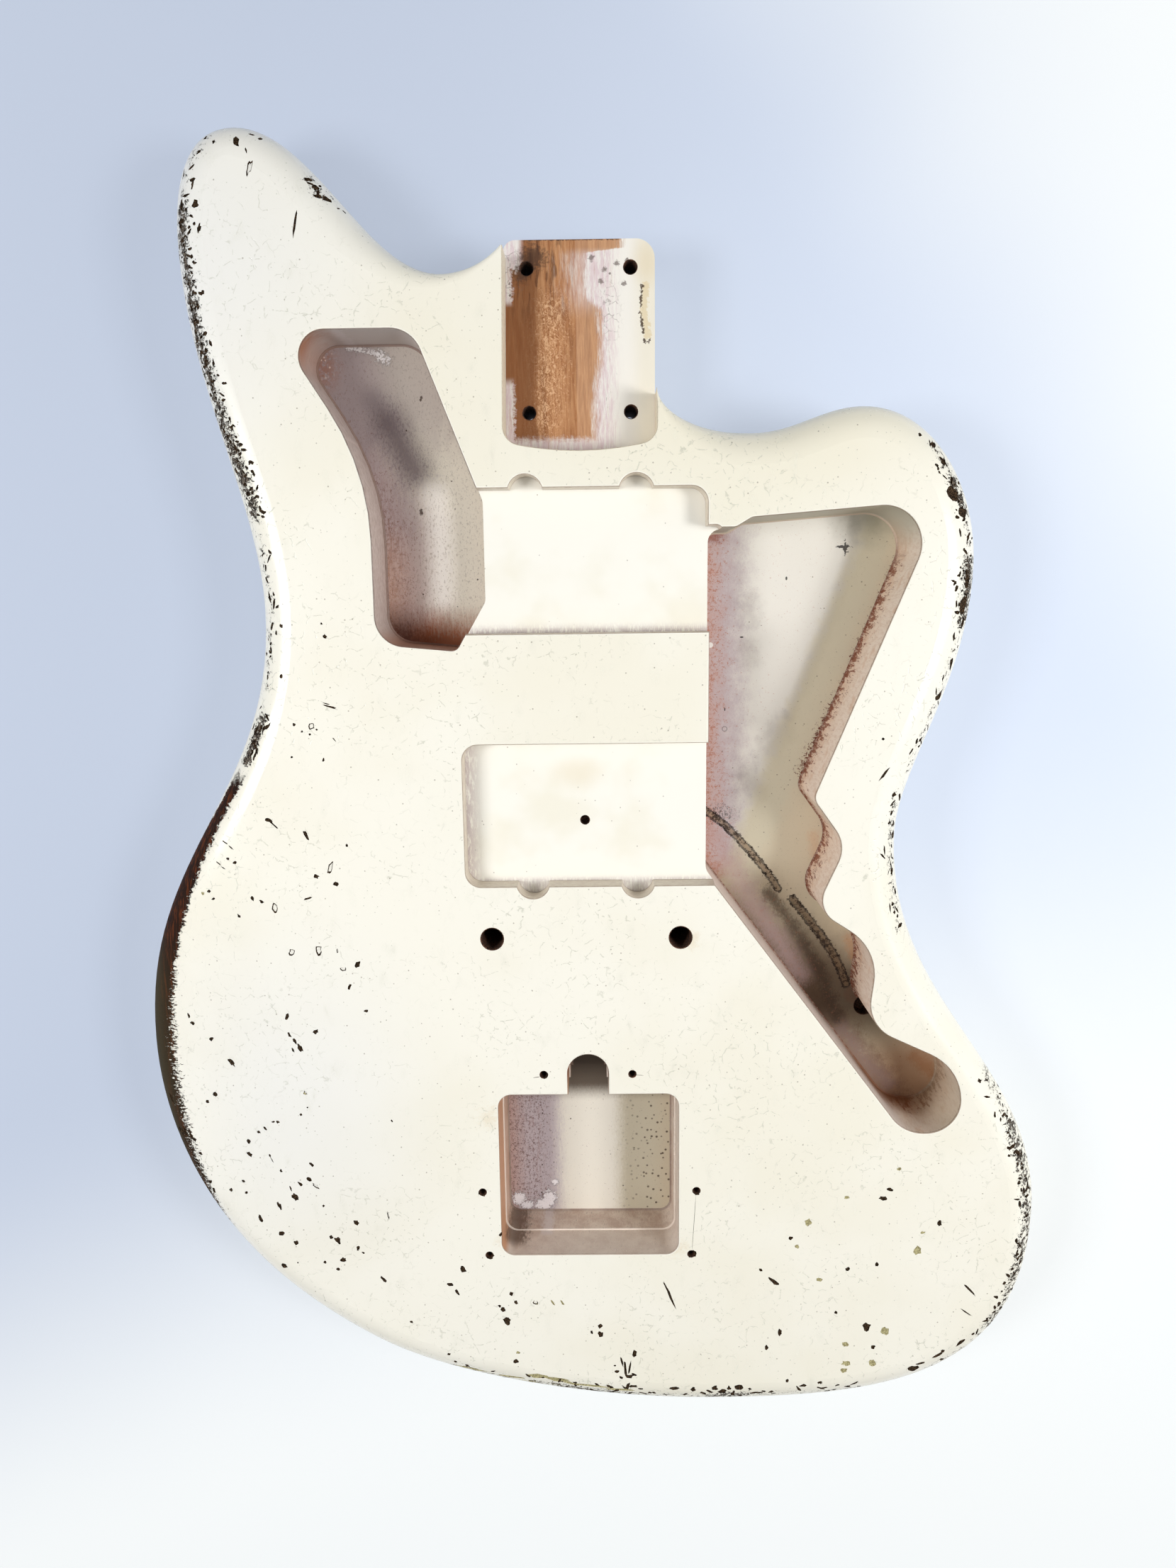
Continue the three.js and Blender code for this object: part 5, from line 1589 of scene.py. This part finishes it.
def cut(target, operand, operation):
    """The target's mesh after a Boolean that keeps each cutter's finish."""
    modifier = target.modifiers.new("cut", "BOOLEAN")
    modifier.operation = operation
    modifier.solver = "MANIFOLD"
    modifier.material_mode = "TRANSFER"
    if isinstance(operand, bpy.types.Collection):
        modifier.operand_type = "COLLECTION"
        modifier.collection = operand
    else:
        modifier.object = operand
    graph = bpy.context.evaluated_depsgraph_get()
    graph.update()
    mesh = bpy.data.meshes.new_from_object(target.evaluated_get(graph))
    target.modifiers.clear()
    return mesh


def keep_used_finishes(mesh):
    used = sorted({polygon.material_index for polygon in mesh.polygons})
    finishes = [mesh.materials[index] for index in used]
    places = [used.index(polygon.material_index) for polygon in mesh.polygons]
    mesh.materials.clear()
    for finish in finishes:
        mesh.materials.append(finish)
    mesh.polygons.foreach_set("material_index", places)


def slab(name, left, right, half_length, levels, finish):
    """A plain block between two sides, from the lower to the upper level."""
    corners = [(left, -half_length), (right, -half_length), (right, half_length),
               (left, half_length)]
    made = loft(name, [[(x, y, z) for x, y in corners] for z in levels], finish)
    scene.collection.objects.link(made)
    return made


# All the cutters go into the blank at once, and the routed body is then sawn into boards.
scene.collection.objects.link(blank)
scene.collection.children.link(routs)
routed = bpy.data.objects.new("routed", cut(blank, routs, "DIFFERENCE"))
scene.collection.objects.link(routed)
for cutter in (blank, *routs.objects):
    bpy.data.objects.remove(cutter)
bpy.data.collections.remove(routs)

glue_lines = [-BODY_WIDTH, -BOARD_WIDTH, 0, BOARD_WIDTH, BODY_WIDTH]
boards = ("bass_outer_board", "bass_inner_board", "treble_inner_board", "treble_outer_board")
for name, left, right in zip(boards, glue_lines, glue_lines[1:]):
    span = slab("span", left + MIDDLE_JOINT, right + MIDDLE_JOINT, SPAN_HALF_LENGTH,
                (-SPAN_MARGIN, BODY_THICKNESS + SPAN_MARGIN), glue_face)
    mesh = cut(routed, span, "INTERSECT")
    bpy.data.objects.remove(span)
    keep_used_finishes(mesh)
    mesh.polygons.foreach_set("use_smooth", [True] * len(mesh.polygons))
    mesh.set_sharp_from_angle(angle=SHARP_ANGLE)
    piece = bpy.data.objects.new(f"lacquered_{name}", mesh)
    scene.collection.objects.link(piece)
    weighted = piece.modifiers.new("weighted", "WEIGHTED_NORMAL")
    weighted.keep_sharp = True
    weighted.weight = NORMAL_WEIGHT
    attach(piece, "root")
    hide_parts(name)
bpy.data.objects.remove(routed)


# The stage: a plain pale floor under the back, a tall soft light at each side and a wide one
# overhead, as in a small white tent.
FLOOR_REACH = 4
FLOOR_LEVELS = (-0.01, -0.0002)
FLOOR_DIM = shade(198, 208, 226)
FLOOR_BLUE = shade(228, 238, 255)
FLOOR_BRIGHT = shade(252, 255, 255)

# The paper on the floor, with painted light and shade: dim blue at the left, brighter to the right
# and toward the tail
floor_finish = Finish("floor_paper", Roughness=0.9)
across = floor_finish.x + floor_finish.noise(260, 2).sway(120)
floor_finish.base((across - floor_finish.y * 0.3).from_to(-230, 240), FLOOR_DIM, FLOOR_BLUE)
floor_finish.coat((across * 0.4 - floor_finish.y).from_to(-20, 230), FLOOR_BRIGHT)
floor_finish.coat((across + floor_finish.y * 0.6).from_to(240, 430), FLOOR_BRIGHT)
floor_finish.paint(Base_Color=floor_finish.colour)
# The camera and reflections see it glow, so that it is pale without more light on the body.
ray = floor_finish.add("ShaderNodeLightPath", {}, {}, "Is Camera Ray")
seen = ray.most(ray.other("Is Glossy Ray")).most(ray.other("Is Transmission Ray"))
glow = {"Color": floor_finish.colour, "Strength": 1}
floor_finish.lay_over(seen * 0.6, floor_finish.add("ShaderNodeEmission", {}, glow))
floor = slab("floor", -FLOOR_REACH, FLOOR_REACH, FLOOR_REACH, FLOOR_LEVELS, floor_finish)


def softbox(name, place, aim, wide, high, power):
    data = bpy.data.lights.new(name, "AREA")
    data.shape = "RECTANGLE"
    data.size = wide
    data.size_y = high
    data.energy = power
    lamp = bpy.data.objects.new(name, data)
    lamp.location = place
    lamp.rotation_euler = (Vector(place) - Vector(aim)).to_track_quat("Z", "Y").to_euler()
    scene.collection.objects.link(lamp)


AIM = (0, 0.02, 0.04)
softbox("left_lamp", (-0.66, 0.08, 0.80), AIM, 0.3, 0.32, 4.5)
softbox("right_lamp", (0.66, 0.08, 0.80), AIM, 0.3, 0.26, 4.3)
softbox("left_wall", (-0.9, 0.02, 0.50), (0, 0.02, 0.50), 1.4, 0.9, 2.2)
softbox("right_wall", (0.9, 0.02, 0.50), (0, 0.02, 0.50), 1.4, 0.9, 4.0)
softbox("ceiling", (0, -0.1, 1.9), AIM, 1.6, 1.6, 3)

world = bpy.data.worlds.new("studio")
scene.world = world
world.use_nodes = True
sky = world.node_tree.nodes["Background"]
sky.inputs["Color"].default_value = (*shade(232, 238, 246), 1)
sky.inputs["Strength"].default_value = 0.2
scene.view_settings.view_transform = "Standard"
